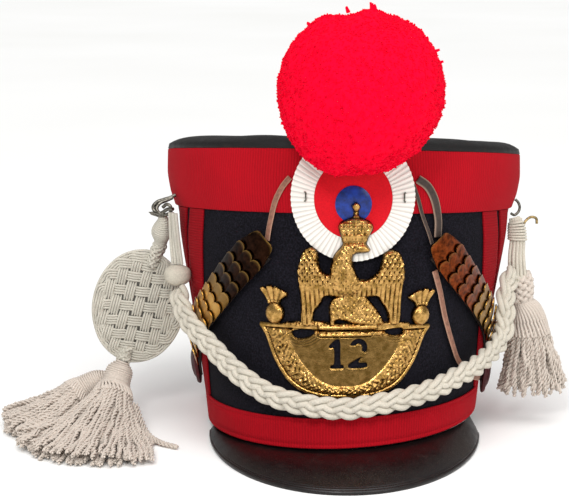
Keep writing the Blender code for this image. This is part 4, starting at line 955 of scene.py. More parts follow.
def build_body():
    """Felt body with rolled edges, and the leather crown with its rounded edge."""
    rows = [(0.0, -1.9), (-0.25, -1.25), (0.0, -0.6), (0.6, -0.15)]
    rows += [(height, 0.0) for height in np.linspace(2.0, 179.0, 44)]
    rows += [(180.3, -0.2), (180.6, -1.0), (180.3, -2.2)]
    rows += [(height, -2.5) for height in np.linspace(178.0, 2.0, 22)] + [(0.6, -2.4)]
    mesh = hoop("felt_body", rows, BODY_COLUMNS)
    points = np.empty(len(mesh.vertices) * 3, np.float32)
    mesh.vertices.foreach_get("co", points)
    points = points.reshape(-1, 3)
    shift = unevenness(points, 55 * MM, 11)[:, None] * 0.12 * MM
    points = points + unit(points * (1.0, 1.0, 0.0)) * shift
    mesh.vertices.foreach_set("co", points.ravel())
    piece("felt_body", tidy(mesh, fill=False), "felt", ("body_shell",))

    outer = smooth_line([(0.0, height, radius) for height, radius in CAP_PROFILE], 36)[:, 1:]
    inner = np.maximum(outer[::-1] - 1.5, (-np.inf, 1.2))
    height, radius = np.vstack((inner, outer)).T[..., None]
    turn = math.pi + once_round(BODY_COLUMNS)
    x, y = radius * MM * np.sin(turn), -radius * MM * np.cos(turn)
    sag = unevenness(np.stack((x, y, 0.0 * x), -1), 60 * MM, 5)
    sag *= 0.5 * MM * np.clip((height - 184.0) / 4.0, 0, 1)
    rows = np.stack((x, y, raised(x, y, height * MM) + sag), -1)
    mesh = grid_mesh("crown_leather", from_hat(rows), ring=True)
    piece("crown_leather", tidy(mesh), "leather", ("crown_top",))


def chevron_mesh(name, side, edge, inside):
    """A V of tape on one side: both arms, joined where they meet."""
    joins = CHEVRON_TOP - (SIDE - inside[0]) / inside[1]
    foot = max(CHEVRON_FOOT, CHEVRON_TOP - (SIDE - edge[0]) / edge[1])
    heights = np.linspace(foot, CHEVRON_TOP, 60)
    if joins > foot:
        heights = np.sort(np.append(heights, joins))
    out, into = (np.minimum(top + turn * (CHEVRON_TOP - heights), SIDE)
                 for top, turn in (edge, inside))
    share = np.linspace(0, 1, 11)[:, None]
    lift = CLOTH_THICKNESS + 0.25 * MM * (2.0 - (2 * share - 1.0) ** 4)
    arms = []
    for mirror in (1, -1):
        azimuth = side * (SIDE - mirror * (SIDE - out - (into - out) * share))
        arms.append(grid_mesh(name, on_hat(azimuth, heights[None], lift)))
    mesh = tidy(joined(name, arms), 0.03 * MM, fill=False)
    return thicken(mesh, CLOTH_THICKNESS, 0.35 * MM)


def build_bands():
    """Red ribbed bands round the crown and rim, and the V tapes on both sides."""
    for name, foot, top, ragged, node in (
            ("top_braid", TOP_BAND_FOOT, TOP_BAND_TOP, 0.12 * MM, "top_band"),
            ("bottom_braid", BOTTOM_BAND_FOOT, BOTTOM_BAND_TOP, 0.0, "bottom_band")):
        profile = banded_profile(foot, top, 0.35, 1.7, not ragged)
        mesh = hoop(name, profile, BAND_COLUMNS, ragged)
        piece(name, tidy(mesh, fill=False), "cloth", (node,))
    for side, sign in (("left", -1), ("right", 1)):
        for which, (edge, inside) in CHEVRONS.items():
            # the V tapes take the copy of the cloth darkened as painted shade
            piece(f"v_tape_{side}_{which}", chevron_mesh("v_tape", sign, edge, inside), "tape",
                  (f"chevron_{side}_{which}",), 40.0)


def build_visor():
    """Polished leather visor with a creased line inside its edge, resting on the table."""
    sweep = np.radians(np.linspace(-VISOR_SWEEP, VISOR_SWEEP, 121))
    rim_x = (FINE_WIDTHS[0] - VISOR_TUCK) * np.sin(0.85 * sweep)
    rim_y = (VISOR_TUCK - FINE_WIDTHS[0] * RIM_DEPTH_RATIO) * np.cos(0.85 * sweep)
    rim_z = raised(rim_x, rim_y, 0.0) - VISOR_THICKNESS - SEAM_GAP
    edge_x = VISOR_CENTRE_X + VISOR_HALF_WIDTH * np.sin(sweep)
    edge_y = VISOR_CENTRE_Y - VISOR_LENGTH * np.cos(sweep)
    edge_z = REAR_REST_Z + TABLE_SLOPE * (edge_y - REAR_REST_Y)
    rim = np.stack((rim_x, rim_y, np.maximum(rim_z, edge_z)), -1)
    edge = np.stack((edge_x, edge_y, edge_z), -1)
    share = np.concatenate((np.linspace(0, 0.85, 22), np.linspace(0.87, 1.0, 22)))[:, None]
    under = rim + (edge - rim) * share[..., None]
    under[..., 2] += VISOR_BULGE * np.cos(sweep) * 4.0 * share * (1 - share)
    normal = unit(np.cross(np.gradient(under, axis=1), -np.gradient(under, axis=0)))
    normal = np.where(normal[..., 2:] < 0, -normal, normal)
    from_edge = np.linalg.norm(under - under[-1:], axis=-1)
    thick = VISOR_THICKNESS * (0.45 + 0.55 * np.sqrt(np.clip(from_edge / (1.2 * MM), 0, 1)))
    for place, depth, width in ((2.6 * MM, 0.45 * MM, 0.4 * MM), (4.2 * MM, 0.2 * MM, 0.5 * MM)):
        thick -= depth * ridge(from_edge - place, width)
    ripple = unevenness(under.reshape(-1, 3), 45 * MM, 21).reshape(thick.shape)
    thick += 0.18 * MM * ripple * np.clip(from_edge / (6 * MM), 0, 1)
    over = under + normal * thick[..., None]
    mesh = grid_mesh("visor_leather", from_hat(np.concatenate((under, over[::-1]))),
                     closed=True)
    piece("visor_leather", tidy(mesh), "visor", ("visor",), 60.0)


# ---- cockade

def on_cockade(across, up, lift):
    """Points of the cockade, in millimetres, wrapped on the hat; the lift is off its face."""
    return wrap(across * MM, up * MM, COCKADE_FACE + lift * MM, COCKADE_AZIMUTH, COCKADE_HEIGHT)


def cockade_ring(name, inner, inner_drop, outer, outer_drop, pleats=0):
    """A ring of the cockade, wrapped on the hat; with pleats, folded round like a fan."""
    columns = pleats * 8 if pleats else 180
    turn = once_round(columns)
    share = np.linspace(0, 1, 10)[:, None]
    radius = outer + (inner - outer) * share
    drop = outer_drop + (inner_drop - outer_drop) * share
    fold = np.zeros((10, columns))
    if pleats:                    # each rises over three quarters of its width and drops back
        at = (np.arange(columns) % 8) / 8.0
        fold += np.where(at < 0.75, at / 0.75, (1 - at) / 0.25)
        radius = radius + 0.2 * (fold - 0.5) * (1 - share)
    depth = sizes().pleat_depth / MM
    lift = 0.2 - 0.5 * (2 * share - 1.0) ** 2 + fold * depth * (1 - 0.35 * share)
    mesh = grid_mesh(name, on_cockade(radius * np.cos(turn), radius * np.sin(turn) - drop, lift),
                     ring=True)
    # painted shade: marks each pleat darkest down in its fold
    point_attribute(mesh, "painted_dark_and_oxide", 1 - fold)
    return thicken(mesh, 1.5 * MM)


def disc(name, place, profile, columns, drop=0.0):
    """A round form laid on the hat by one of its places, from (radius, lift), millimetres."""
    radius, lift = np.array(profile).T[..., None]
    turn = once_round(columns)
    rows = place(radius * np.cos(turn), radius * np.sin(turn) - drop, lift)
    return tidy(grid_mesh(name, rows, ring=True))


def build_cockade():
    """Pleated white ring, red ring, varnished blue centre and the two wire staples."""
    mesh = cockade_ring("white_pleats", 23.6, 1.0, 37.8, 0.0, sizes().pleats)
    piece("white_pleats", mesh, "white", ("cockade_white_ring",), 50.0)
    mesh = cockade_ring("red_facing", 10.9, 4.2, 23.5, 1.0)
    piece("red_facing", mesh, "red", ("cockade_red_ring",), 50.0)
    dome = [(radius, 1.5 * math.sqrt(1 - (radius / 11.2) ** 2) - 0.2)
            for radius in np.linspace(10.9, 0.4, 14)]
    mesh = disc("blue_disc", on_cockade, [(10.9, -1.6)] + dome, 96, 4.2)
    piece("blue_disc", mesh, "blue", ("cockade_blue_centre",), 50.0)
    for name, across, way in (("left", -28.3, -1.0), ("right", 30.4, 1.0)):
        line = [on_cockade(across + way * side, up, 0.4 + lift) for side, up, lift in STAPLE]
        mesh = swept("staple", [smooth_line(line, 24)], 0.5 * MM, 8, "steel")
        piece(f"cockade_staple_{name}_wire", mesh, "steel",
              (f"cockade_staple_{name}",))


# ---- eagle plate

def rounded_outline(outline, turns=2):
    """Cut the corners of a closed outline."""
    points = np.asarray(outline, float)
    for _ in range(turns):
        ahead = np.roll(points, -1, axis=0)
        points = np.stack((0.8 * points + 0.2 * ahead, 0.2 * points + 0.8 * ahead), 1)
        points = points.reshape(-1, 2)
    return points


def distance_to(points, outline):
    """Signed distance from flat points to a closed outline, negative inside."""
    start = np.asarray(outline, float)
    span = np.roll(start, -1, axis=0) - start
    end_y = (start + span)[:, 1]
    result = np.full(len(points), OUTLINE_FAR)
    low, high = start.min(0) - OUTLINE_MARGIN, start.max(0) + OUTLINE_MARGIN
    wanted = np.flatnonzero(((points > low) & (points < high)).all(1))
    for chunk in np.array_split(wanted, max(len(wanted) // OUTLINE_CHUNK, 1)):
        offset = points[chunk][:, None] - start[None]
        share = np.clip((offset * span).sum(-1) / (span * span).sum(-1), 0, 1)
        gap = np.linalg.norm(offset - share[..., None] * span, axis=-1).min(1)
        y = points[chunk][:, 1:2]
        rises = (start[:, 1] > y) != (end_y > y)
        with np.errstate(divide='ignore', invalid='ignore'):
            cross_x = start[:, 0] + span[:, 0] * (y - start[:, 1]) / span[:, 1]
        inside = (rises & (points[chunk][:, 0:1] < cross_x)).sum(1) % 2 == 1
        result[chunk] = np.where(inside, -gap, gap)
    return result


def bowl(edge):
    """Both sides of the shield's outline from levels and half widths."""
    left = [(-half, level) for level, half in edge]
    right = [(half, level) for level, half in reversed(edge)]
    return [(x, y - SHIELD_TILT * x - SHIELD_DROP) for x, y in left + right]


def arc(centre, radius, start, end, steps):
    turns = np.radians(np.linspace(start, end, steps + 1))
    return [(centre[0] + radius * math.cos(t), centre[1] + radius * math.sin(t)) for t in turns]


def digit_cuts():
    """Outlines of a stencilled 12: the 1 in one cut, the 2 in two with a bridge between."""
    top, foot, left = -5, -23, -10.5
    one = [(left + across, level) for across, level in (
        (0, top - 4.4), (4.4, top), (7.6, top), (7.6, foot + 2.2), (9.8, foot + 2),
        (9.8, foot), (1.4, foot), (1.4, foot + 2), (3.8, foot + 2.2), (3.8, top - 5),
        (1, top - 5.6))]
    centre = (8.2, top - 5.4)
    bow = arc(centre, 5.5, 165, -38, 18) + arc(centre, 2.3, -38, 150, 12)
    slant = [(11, top - 10.8), (7.4, foot + 3.4), (13.8, foot + 3.4), (13.8, foot),
             (1.8, foot), (1.8, foot + 2.6), (7.8, top - 12.2)]
    return one, bow, slant


def shoulder(distance, rise, edge):
    """Rounded edge of a raised form: nought outside, its full rise an edge's width inside."""
    share = np.clip(-distance / edge, 0, 1)
    return rise * np.sqrt(share * (2.0 - share))


def ridge(distance, width):
    return np.exp(-(distance / width) ** 2)


def dome(reach):
    return np.sqrt(np.clip(1 - reach ** 2, 0, 1))


def waves(position, length, power=1.0):
    return np.abs(np.sin(math.pi * position / length)) ** power


def feathers(x, y, wide, tall):
    """Overlapping rows of round-ended feathers that point down: 0 at a root, 1 at a tip."""
    height = np.zeros_like(x)
    nearest = np.ceil(y / tall)
    for above in (0, 1):
        row = nearest + above
        beside = (x / wide + 0.5 * (row % 2)) % 1 - 0.5
        reach = np.hypot(beside / 0.56, (y - row * tall) / (1.7 * tall))
        height = np.where(reach < 1.0, 0.25 + 0.75 * reach ** 1.5, height)
    return height


def blurred(values, weight, cells):
    """Mean over a neighbourhood that counts only the plate itself."""
    def spread(grid):
        for axis in (0, 1):
            grid = np.apply_along_axis(np.convolve, axis, grid, bell(2 * cells + 3)[1:-1],
                                       mode='same')
        return grid

    return spread(values * weight) / np.maximum(spread(weight), 1e-6)


def shield_face(form, x, y, grit):
    """The crescent with its leafy border, rims and plain field, and the drops cut through it."""
    shield, field = form(bowl(SHIELD_EDGE), 1), form(bowl(FIELD_EDGE))
    drops = [form(outline) for outline in TEARDROPS]
    border, within = (field > 0.0) & (shield < 0.0), shield < -1.0
    band = np.clip((field - 0.8) / np.maximum(field - shield - 4.0, 0.1), 0, 1)
    leaf = waves(np.arctan2(x, 16.0 - y) * 50.0 + 3.63 * np.abs(2 * band - 1.0), 3.3, 0.7)
    leaves = 1.7 + leaf * np.sqrt(4.0 * band * (1 - band)) + 0.35 * grit * (band > 0.05)
    height = np.where((shield < -3.2) & (field > 0.8), leaves, shoulder(shield, 1.35, 0.9))
    height += border * (0.55 * (shield > -2.5) - 0.55 * ridge(shield + 2.9, 0.45))
    height += 0.8 * ridge(field - 0.4, 0.5) * within
    height += 0.35 * (1 - np.exp(np.minimum(field, 0.0) / 7.0))
    for drop in drops:
        below = np.clip((1.5 - y) / 2.0, 0, 1) * within * (drop > 0)
        for place, rise in ((0.7, 0.75), (2.3, 0.6), (3.9, 0.5), (5.5, 0.35)):
            height += below * rise * ridge(drop - place, 0.5)
    return shield, drops, height


def eagle_face(form, x, y, grit, fine):
    """Wings with long quills under short feathers, a scaled trunk with a bare head, and legs."""
    wings, trunk, legs = form(WINGS), form(TRUNK), form(LEGS)
    quills = 1.15 * waves(np.where(x < 0, x + 0.06 * y, x - 0.04 * y), 2.9, 0.8)
    quills += 0.12 * np.sin(math.tau * (y + 0.6 * np.abs(x)) / 1.3)
    top = np.clip((y - 24.0) / 6.0, 0, 1)
    cover = top * (1.3 * feathers(x, y, 3.0, 2.5) + 0.3 * grit) + (1 - top) * quills
    winged = shoulder(wings, 2.7, 1.8) + cover * shoulder(wings, 1.0, 1.0)
    coat = (0.95 * feathers(x, y + 1.1, 2.6, 2.1) + 0.2 * fine) * shoulder(trunk, 1.0, 1.6)
    beak = np.clip(1 - ((x - 9.4) / 5.8) ** 2 - ((y - 49.4) / 2.7) ** 2, 0, 1)
    hooked = np.clip(1 - ((x - 13.2) / 1.6) ** 2 - ((y - 47.6) / 1.9) ** 2, 0, 1)
    bare = shoulder(trunk, 3.4, 2.0) + 1.9 * np.sqrt(beak) + 0.5 * np.sqrt(hooked)
    body = np.where((beak > 0) | (hooked > 0), bare, shoulder(trunk, 4.3, 4.5) + coat)
    body -= 0.8 * ridge(np.hypot(x - 5.6, y - 50.0) - 0.6, 0.4)
    down = (0.9 * feathers(x, y, 2.5, 2.0) + 0.35 * grit) * shoulder(legs, 1.0, 1.2)
    height = np.maximum.reduce([winged, body * (trunk < 0), shoulder(legs, 3.2, 2.6) + down])
    return np.minimum.reduce([wings, trunk, legs]), height


def crown_face(form, x, y):
    """The small crown: arches and pearls between bands, and its orb."""
    crown = form(CROWN)
    ray = (x - 5.2) / np.clip(4.5 + (y - 52.0) * 0.55, 4.5, 11.0)
    arches = np.abs(np.cos(math.pi * ray * 2.2)) ** 1.5
    pearls = waves(x, 2.1, 0.7) * waves(y, 2.1, 0.7)
    between_bands = (y > 57.5) & (y < 67.5)
    height = shoulder(crown, 3.9, 5.0)
    height += between_bands * (1.1 * arches + 0.6 * pearls) * shoulder(crown, 1.0, 1.2)
    for level, rise in ((53.6, 0.7), (56.8, 1.0), (68.6, 1.2)):
        height += rise * ridge(y - level, 0.7) * shoulder(crown, 1.0, 0.8)
    height += (np.abs(y - 55.2) < 0.9) * 0.7 * waves(x, 1.8)
    orb = np.hypot(x - 5.5, y - 74.4) / 3.4
    return crown, np.where(orb < 1.0, 2.2 + 2.8 * dome(orb), height) * (crown < 0)


def plate_heights(flat, x, y):
    """Signed distance of the plate's outline and its face heights, all in millimetres."""
    def form(outline, turns=2):
        return distance_to(flat, rounded_outline(outline, turns))

    spots = np.stack((x, y, np.zeros_like(x)), -1)
    grit, fine = np.clip(unevenness(spots, 2.6, 31), -1, 1), unevenness(spots, 1.7, 32)
    shield, drops, height = shield_face(form, x, y, grit)
    eagle, eagle_height = eagle_face(form, x, y, grit, fine)
    bar = form(BAR)
    beads = (y > 2.6) * (1.3 * waves(x, 1.9, 0.6) * waves(y - 3.2, 1.9, 0.6) + 0.3 * fine)
    height = np.maximum.reduce([height, eagle_height,
                                shoulder(bar, 2.0, 0.9) + beads * shoulder(bar, 1.0, 0.8)])
    for level, low, high, girth, rise in TUBES:
        beyond = np.maximum(np.maximum(low - x, x - high), 0.0)
        tube = np.hypot(beyond, y - level) / girth
        height = np.maximum(height, (rise - 1.0 + dome(tube)) * (tube < 1.0))
        height -= 0.5 * ridge(tube - 1.5, 0.4) * (tube > 1.0) * (shield < -1)
    crown, crown_height = crown_face(form, x, y)
    height = np.maximum(height, crown_height)
    outline = np.minimum.reduce([shield, eagle, bar, crown])
    for across, up, side in GRENADES:
        reach = np.hypot(x - across, y - up)
        tines = np.abs(np.sin(np.arctan2(side * (x - across), y - up) * 9.5))
        flame = np.maximum(form([(across + side * fx, up + fy) for fx, fy in FLAME], 1),
                           reach - 15.2 - 2.8 * tines)
        burning = shoulder(flame, 2.1, 0.8) + tines * shoulder(flame, 1.0, 0.6) \
            + 0.5 * ridge(reach - 7.4, 0.6)
        height = np.maximum(height, burning * (flame < 0))
        height = np.where(reach < BALL_RADIUS, 1.3 + 3.6 * dome(reach / BALL_RADIUS), height)
        outline = np.minimum.reduce([outline, flame, reach - BALL_RADIUS])
    for cut in [form(figure, 1) for figure in digit_cuts()]:
        height -= 0.35 * ridge(cut, 0.5)
        outline = np.maximum(outline, -cut)
    outline = np.maximum.reduce([outline, *(-drop for drop in drops)])
    rolled = np.sqrt(np.clip(-outline / 0.8, 0, 1))
    return outline, 1.0 + (np.maximum(height, 0.8) - 1.0) * rolled


def cut_plate(outline):
    """Cells of a grid inside an outline, those on its edge cut along it.

    Returns each point's two grid corners with a share between them, the faces, and the edge's
    segments.
    """
    inside = outline < 0.0
    number = np.full(outline.shape, -1)
    number[inside] = np.arange(inside.sum())
    pairs = [(tuple(place), tuple(place), 0.0) for place in np.argwhere(inside)]
    crossing = {}

    def edge_point(low, high):
        if (low, high) not in crossing:
            crossing[low, high] = len(pairs)
            pairs.append((low, high, float(outline[low] / (outline[low] - outline[high]))))
        return crossing[low, high]

    whole, some = corners(inside).all(-1), corners(inside).any(-1)
    faces = corners(number)[whole].tolist()
    walls = []
    for i, j in np.argwhere(some & ~whole):
        cell = ((i, j), (i, j + 1), (i + 1, j + 1), (i + 1, j))
        polygon = []
        for a, b in zip(cell, cell[1:] + cell[:1]):
            if inside[a]:
                polygon.append((int(number[a]), False))
            if inside[a] != inside[b]:
                polygon.append((edge_point(min(a, b), max(a, b)), True))
        faces.append([vertex for vertex, _ in polygon])
        walls += [(a, b) for (a, a_cut), (b, b_cut) in zip(polygon, polygon[1:] + polygon[:1])
                  if a_cut and b_cut]
    return pairs, faces, walls


def build_plate():
    """The stamped brass plate in full relief, flat behind, bent round the hat."""
    cell = sizes().relief_cell / MM
    x, y = np.meshgrid(np.arange(-61.0, 61.0, cell), np.arange(-45.0, 80.0, cell))
    flat = np.stack((x.ravel(), y.ravel()), -1)
    outline, height = (values.reshape(x.shape)
                       for values in plate_heights(flat, x.ravel(), y.ravel()))
    outline[np.abs(outline) < 0.04 * cell] = -0.04 * cell
    around_it = blurred(height, (outline < 0.0).astype(float), 4)
    field = distance_to(flat, rounded_outline(bowl(FIELD_EDGE))).reshape(x.shape)
    # brown oxide down in the recesses, and a painted dark reflection over the low flat field
    oxide_and_painted_reflection = np.maximum(np.clip((around_it - height) / 0.7, 0, 1),
                      0.66 * np.clip((0.5 - field) / 1.5, 0, 1) * (height < 2.2))
    pairs, faces, walls = cut_plate(outline)
    low, high, share = (np.array(column) for column in zip(*pairs))
    across, up, rise, oxide_and_painted_reflection = (grid[tuple(low.T)] * (1 - share) + grid[tuple(high.T)] * share
                              for grid in (x, y, height, oxide_and_painted_reflection))
    step = np.clip((up - PLATE_STEP_FROM) / (PLATE_STEP_TO - PLATE_STEP_FROM), 0, 1)
    base = PLATE_LIFT + PLATE_STEP * step * step * (3.0 - 2 * step)
    front, back = (wrap(across * MM, up * MM, lift * MM, PLATE_AZIMUTH, PLATE_HEIGHT)
                   for lift in (base + rise, base))
    count = len(pairs)
    faces += [[vertex + count for vertex in reversed(face)] for face in faces]
    faces += [[b, a, a + count, b + count] for a, b in walls]
    mesh = mesh_of("stamped_plate", np.vstack((front, back)), faces)
    point_attribute(mesh, "painted_dark_and_oxide", np.concatenate((oxide_and_painted_reflection, np.full(count, 0.5))))
    piece("stamped_plate", tidy(mesh, fill=False), "brass", ("eagle_plate",), 55.0)


# ---- pompom

def build_pompom():
    """A ball of cut wool: a lumpy core with thousands of ends, and a few stray locks."""
    shape = bmesh.new()
    bmesh.ops.create_icosphere(shape, subdivisions=6, radius=1.0)
    directions = np.array([vert.co for vert in shape.verts])
    x, y, z = directions.T
    lump = np.sin(7.0 * x + 2 * z) * np.cos(6.0 * y - 3.0 * x) * np.sin(5.0 * z + y)
    bulge = np.interp(np.degrees(np.arctan2(z, x)), *np.array(POMPOM_BULGES).T, period=360.0)
    ball = directions * POMPOM_RADIUS
    radius = POMPOM_RADIUS + MM * (
        1.3 * lump - 1.2 + bulge * (1 - np.abs(y) ** 1.5)
        + 0.55 * unevenness(ball, 7 * MM, 41) + 0.38 * unevenness(ball, 2.6 * MM, 42, 60))
    points = POMPOM_CENTRE + directions * radius[:, None]
    level = np.clip(points[:, 2] / POMPOM_SEAT_TOP, 0, 1)
    seat = POMPOM_SEAT_FOOT + (POMPOM_SEAT_RADIUS - POMPOM_SEAT_FOOT) * level + 0.4 * MM
    from_axis = np.linalg.norm(points[:, :2], axis=1)
    pressed = (points[:, 2] < POMPOM_SEAT_TOP) & (from_axis < seat)
    points[pressed, :2] *= (seat / from_axis)[pressed, None]
    for vert, point in zip(shape.verts, from_hat(points)):
        vert.co = point
    core = poured(shape, bpy.data.meshes.new("core"))
    mesh = run_nodes(core, tuft_tree(), density=sizes().tuft_density,
                     length=sizes().tuft_length, thickness=0.7 * MM, lean=1.1, seed=7,
                     material=surface_of("wool"))
    piece("cut_wool_ball", mesh, "wool", ("pompom",))

    rng = np.random.default_rng(9)
    strays = []
    for across, reach, length in STRAY_WOOL:
        direction = unit(np.array((across, -0.05, reach)))
        root = from_hat(POMPOM_CENTRE) + direction * (POMPOM_RADIUS - 1.5 * MM)
        lean = direction + np.array((-0.25, 0.0, 0.05)) + rng.normal(size=3) * 0.12
        tip = root + unit(lean) * (length + 1.0) * MM
        middle = (root + tip) / 2 + rng.normal(size=3) * 0.3 * MM
        strays.append(smooth_line([root, middle, tip], 8))
    thick = [np.linspace(1.5, 0.8, 8) for _ in strays]
    piece("stray_wool", swept("stray_wool", strays, 0.9 * MM, 6, "wool", thick), "wool")


# ---- chinscales and laces

def flat_route(route):
    """A route of degrees and millimetres as an unrolled line, with its scale."""
    middle = hat_frame_point(route[len(route) // 2][0], 90 * MM)
    per_degree = math.radians(1.0) * float(np.linalg.norm(middle[:2]))
    flat = [(azimuth * per_degree, height * MM, 0.0) for azimuth, height in route]
    return smooth_line(flat, 241), per_degree


def ribbon_at(route, along, sideways, lift):
    """Points at distances along and across an unrolled route, laid on the hat."""
    line, per_degree = flat_route(route)
    total, last = path_length(line), len(line) - 1
    at = np.clip(along / total, -0.02, 1.05) * last
    inner = np.clip(at, 0, last)
    place, run = between((line, unit(np.gradient(line, axis=0))), inner)
    x, y = np.moveaxis((place + run * ((at - inner) * total / last)[..., None])[..., :2], -1, 0)
    dx, dy = run[..., 0], run[..., 1]
    return on_hat((x + dy * sideways) / per_degree, y - dx * sideways, lift)


def ribbon_mesh(route, width, lift, thickness, crown, samples=90, across=13):
    """A strap with a rounded face: a closed mesh with how far across each point is."""
    along = np.linspace(0, path_length(flat_route(route)[0]), samples)[None]
    share = np.linspace(-1, 1, across)[:, None]
    face = lift + thickness - crown * np.abs(share) ** 2.5
    mesh = grid_mesh("strap", ribbon_at(route, along, share * width / 2, face))
    point_attribute(mesh, "across", np.abs(np.repeat(share, samples, axis=1)))
    return thicken(mesh, thickness - crown * 0.5, 0.3 * MM)


def scale_mesh(route, bright_to, index, root, pitch):
    """One convex scale with a free edge of three lobes; the last has one round end."""
    last = index == SCALE_COUNT - 1
    reach = pitch + SCALE_OVERLAP + (LAST_SCALE if last else 0.0)
    across = np.linspace(-1, 1, 37)[None]
    share = np.linspace(0, 1, 13)[:, None]
    third = across if last else ((across + 1.0) * 1.5) % 1.0 * 2.0 - 1.0
    third = np.where(np.abs(across) > 0.999, 1.0, third)
    lobe = dome(third)
    notch = 3.3 * MM * (1 - lobe)
    if last:
        notch = 9.0 * MM * (1 - np.sqrt(np.clip(1 - np.abs(across) ** 2.4, 0, 1)))
    out = (reach - notch) * share
    rise = (SCALE_THICKNESS + 0.45 * MM) / pitch
    lift = STRAP_LIFT + STRAP_THICKNESS + SCALE_CLEAR + SCALE_THICKNESS + rise * out
    lift = lift + 1.1 * MM * (1 - across ** 2) + 0.5 * MM * lobe * share ** 0.7
    lift = lift + 0.2 * MM * ridge(1 - share, 0.08)
    narrow = 1 - (0.22 * share ** 2 if last else 0.0)
    mesh = grid_mesh("scale", ribbon_at(route, root + out, across * narrow * SCALE_WIDTH / 2,
                                        lift))
    tone = np.clip((bright_to - index / (SCALE_COUNT - 1.0)) / 0.12 + 0.5, 0, 1)
    # painted highlight: a thin bright line along each scale's free edge
    rim = 0.3 * ridge(1 - share, 0.07) * np.ones_like(across)
    point_attribute(mesh, "tone", np.clip(tone + rim, 0, 1))
    return thicken(mesh, SCALE_THICKNESS)


def build_chinscales():
    """Leather straps with twelve overlapping scales each, and the bosses at their roots."""
    for side, bright_to in (("left", 0.62), ("right", 0.58)):
        route = STRAP_ROUTES[side]
        mesh = ribbon_mesh(route, STRAP_WIDTH, STRAP_LIFT, STRAP_THICKNESS, 0.1 * MM)
        piece(f"strap_leather_{side}", mesh, "strap",
              (f"chinscale_strap_{side}",), 40.0)
        start = BOSS_RADIUS + 1.5 * MM
        pitch = (path_length(flat_route(route)[0]) - start - LAST_SCALE) / (SCALE_COUNT - 0.5)
        meshes = [scale_mesh(route, bright_to, i, start + pitch * i, pitch)
                  for i in range(SCALE_COUNT)]
        piece(f"brass_scales_{side}", joined("scales", meshes), f"scales {side}",
              [f"scale_{side}_{i + 1:02d}" for i in range(SCALE_COUNT)], 45.0)

        def place(across, up, lift):
            return wrap(across * MM, up * MM, STRAP_LIFT + STRAP_THICKNESS + 0.5 * MM + lift * MM,
                        *BOSS_PLACES[side])

        piece(f"boss_leather_{side}", disc("boss", place, BOSS_PROFILE, 64), "boss",
              (f"chinscale_boss_{side}",), 50.0)


def build_laces():
    """Leather laces that tie the chinscales up."""
    for name, (width, route) in LACES.items():
        mesh = ribbon_mesh(route, width * MM, LACE_LIFT, LACE_THICKNESS, 0.7 * MM, 80, 11)
        finish = "lace grey" if name in ("lace_right_arch", "lace_right_thin") else "lace"
        piece(name + "_leather", mesh, finish, (name,), 50.0)


# ---- cords

def square_to(ahead, vectors):
    """Directions across a line, nearest to the given ones."""
    return unit(vectors - ahead * (vectors * ahead).sum(-1, keepdims=True))


def plaited(line, outside, half_width, cord, period):
    """Three doubled cords plaited along a line: the lines of all six."""
    ahead = unit(np.gradient(line, axis=0))
    off = square_to(ahead, outside)
    sideways = unit(np.cross(ahead, off))
    lines = []
    for k in range(3):
        turn = math.tau * (distances(line) / period + k / 3.0)
        swing = (half_width - 1.9 * cord) * np.sin(turn)
        depth = 0.95 * cord * np.sin(2 * turn)
        centre = line + sideways * swing[:, None] + off * depth[:, None]
        beside = unit(np.cross(unit(np.gradient(centre, axis=0)), off))
        lines += [centre + beside * (way * cord * 0.98) for way in (-1.0, 1.0)]
    return lines


def build_cords():
    """The plait across the front, the cords and slide on its left, and the bundle on its right."""
    line = smooth_line(from_hat(PLAIT_ROUTE), 320)
    middle = from_hat(np.array((0.0, 0.0, 60.0)) * MM)
    outside = unit(unit((line - middle) * (1.0, 1.0, 0.0)) + (0.0, -1.6, 0.0))
    lines = plaited(line, outside, PLAIT_HALF_WIDTH, sizes().plait_cord, sizes().plait_period)
    mesh = swept("plaited_cord", lines, sizes().plait_cord, 10, "cotton")
    piece("plaited_cord", mesh, "cotton", ("front_plait",))

    beside = np.array((1.0, -0.25, 0.0)) * MM
    for name, points in LEFT_CORDS.items():
        centre = table_line(points, 60)
        mesh = swept(name, [centre + beside, centre - beside], 1.1 * MM, 10, "grey cotton")
        piece(name + "_cotton", mesh, "grey cotton", (name,))

    level = np.linspace(-1, 1, 33)[:, None]
    swell = np.maximum((1 - np.abs(level) ** 2.6) ** 0.42, 0.42)
    swell *= 1.0 + 0.012 * np.cos(level * 40.0)      # the thread's turns
    turn = once_round(64)
    rows = np.stack((SLIDE_HALF[0] * swell * np.cos(turn), SLIDE_HALF[1] * swell * np.sin(turn),
                     SLIDE_HALF[2] * level + 0.0 * turn), -1) + SLIDE_CENTRE
    mesh = tidy(grid_mesh("slide", from_table(rows * MM), ring=True))
    piece("slide_barrel", mesh, "cotton plain", ("cord_slide_left",), 60.0)

    centre, wide, deep, side, other = sections(BUNDLE_PATH, 60)
    places = [(0.78 * share, -0.5 * math.cos(1.4 * share)) for share in np.linspace(-1, 1, 5)]
    places += [(0.8 * share, 0.5) for share in np.linspace(-0.75, 0.75, 4)]
    lines = [centre + side * (wide * across)[:, None] + other * (deep * off)[:, None]
             for across, off in places]
    bound = between((centre, wide * 1.15, deep * 1.15, side, other), np.linspace(3, 20, 240))
    wrapping = around(bound, np.linspace(0, math.tau * 7, 240))
    mesh = joined("bundle", [swept("bundle", lines, 1.25 * MM, 10, "cotton"),
                             swept("bundle_wrap", [wrapping], 0.85 * MM, 8, "cotton")])
    piece("bundled_cords", mesh, "cotton", ("cord_bundle_right",))


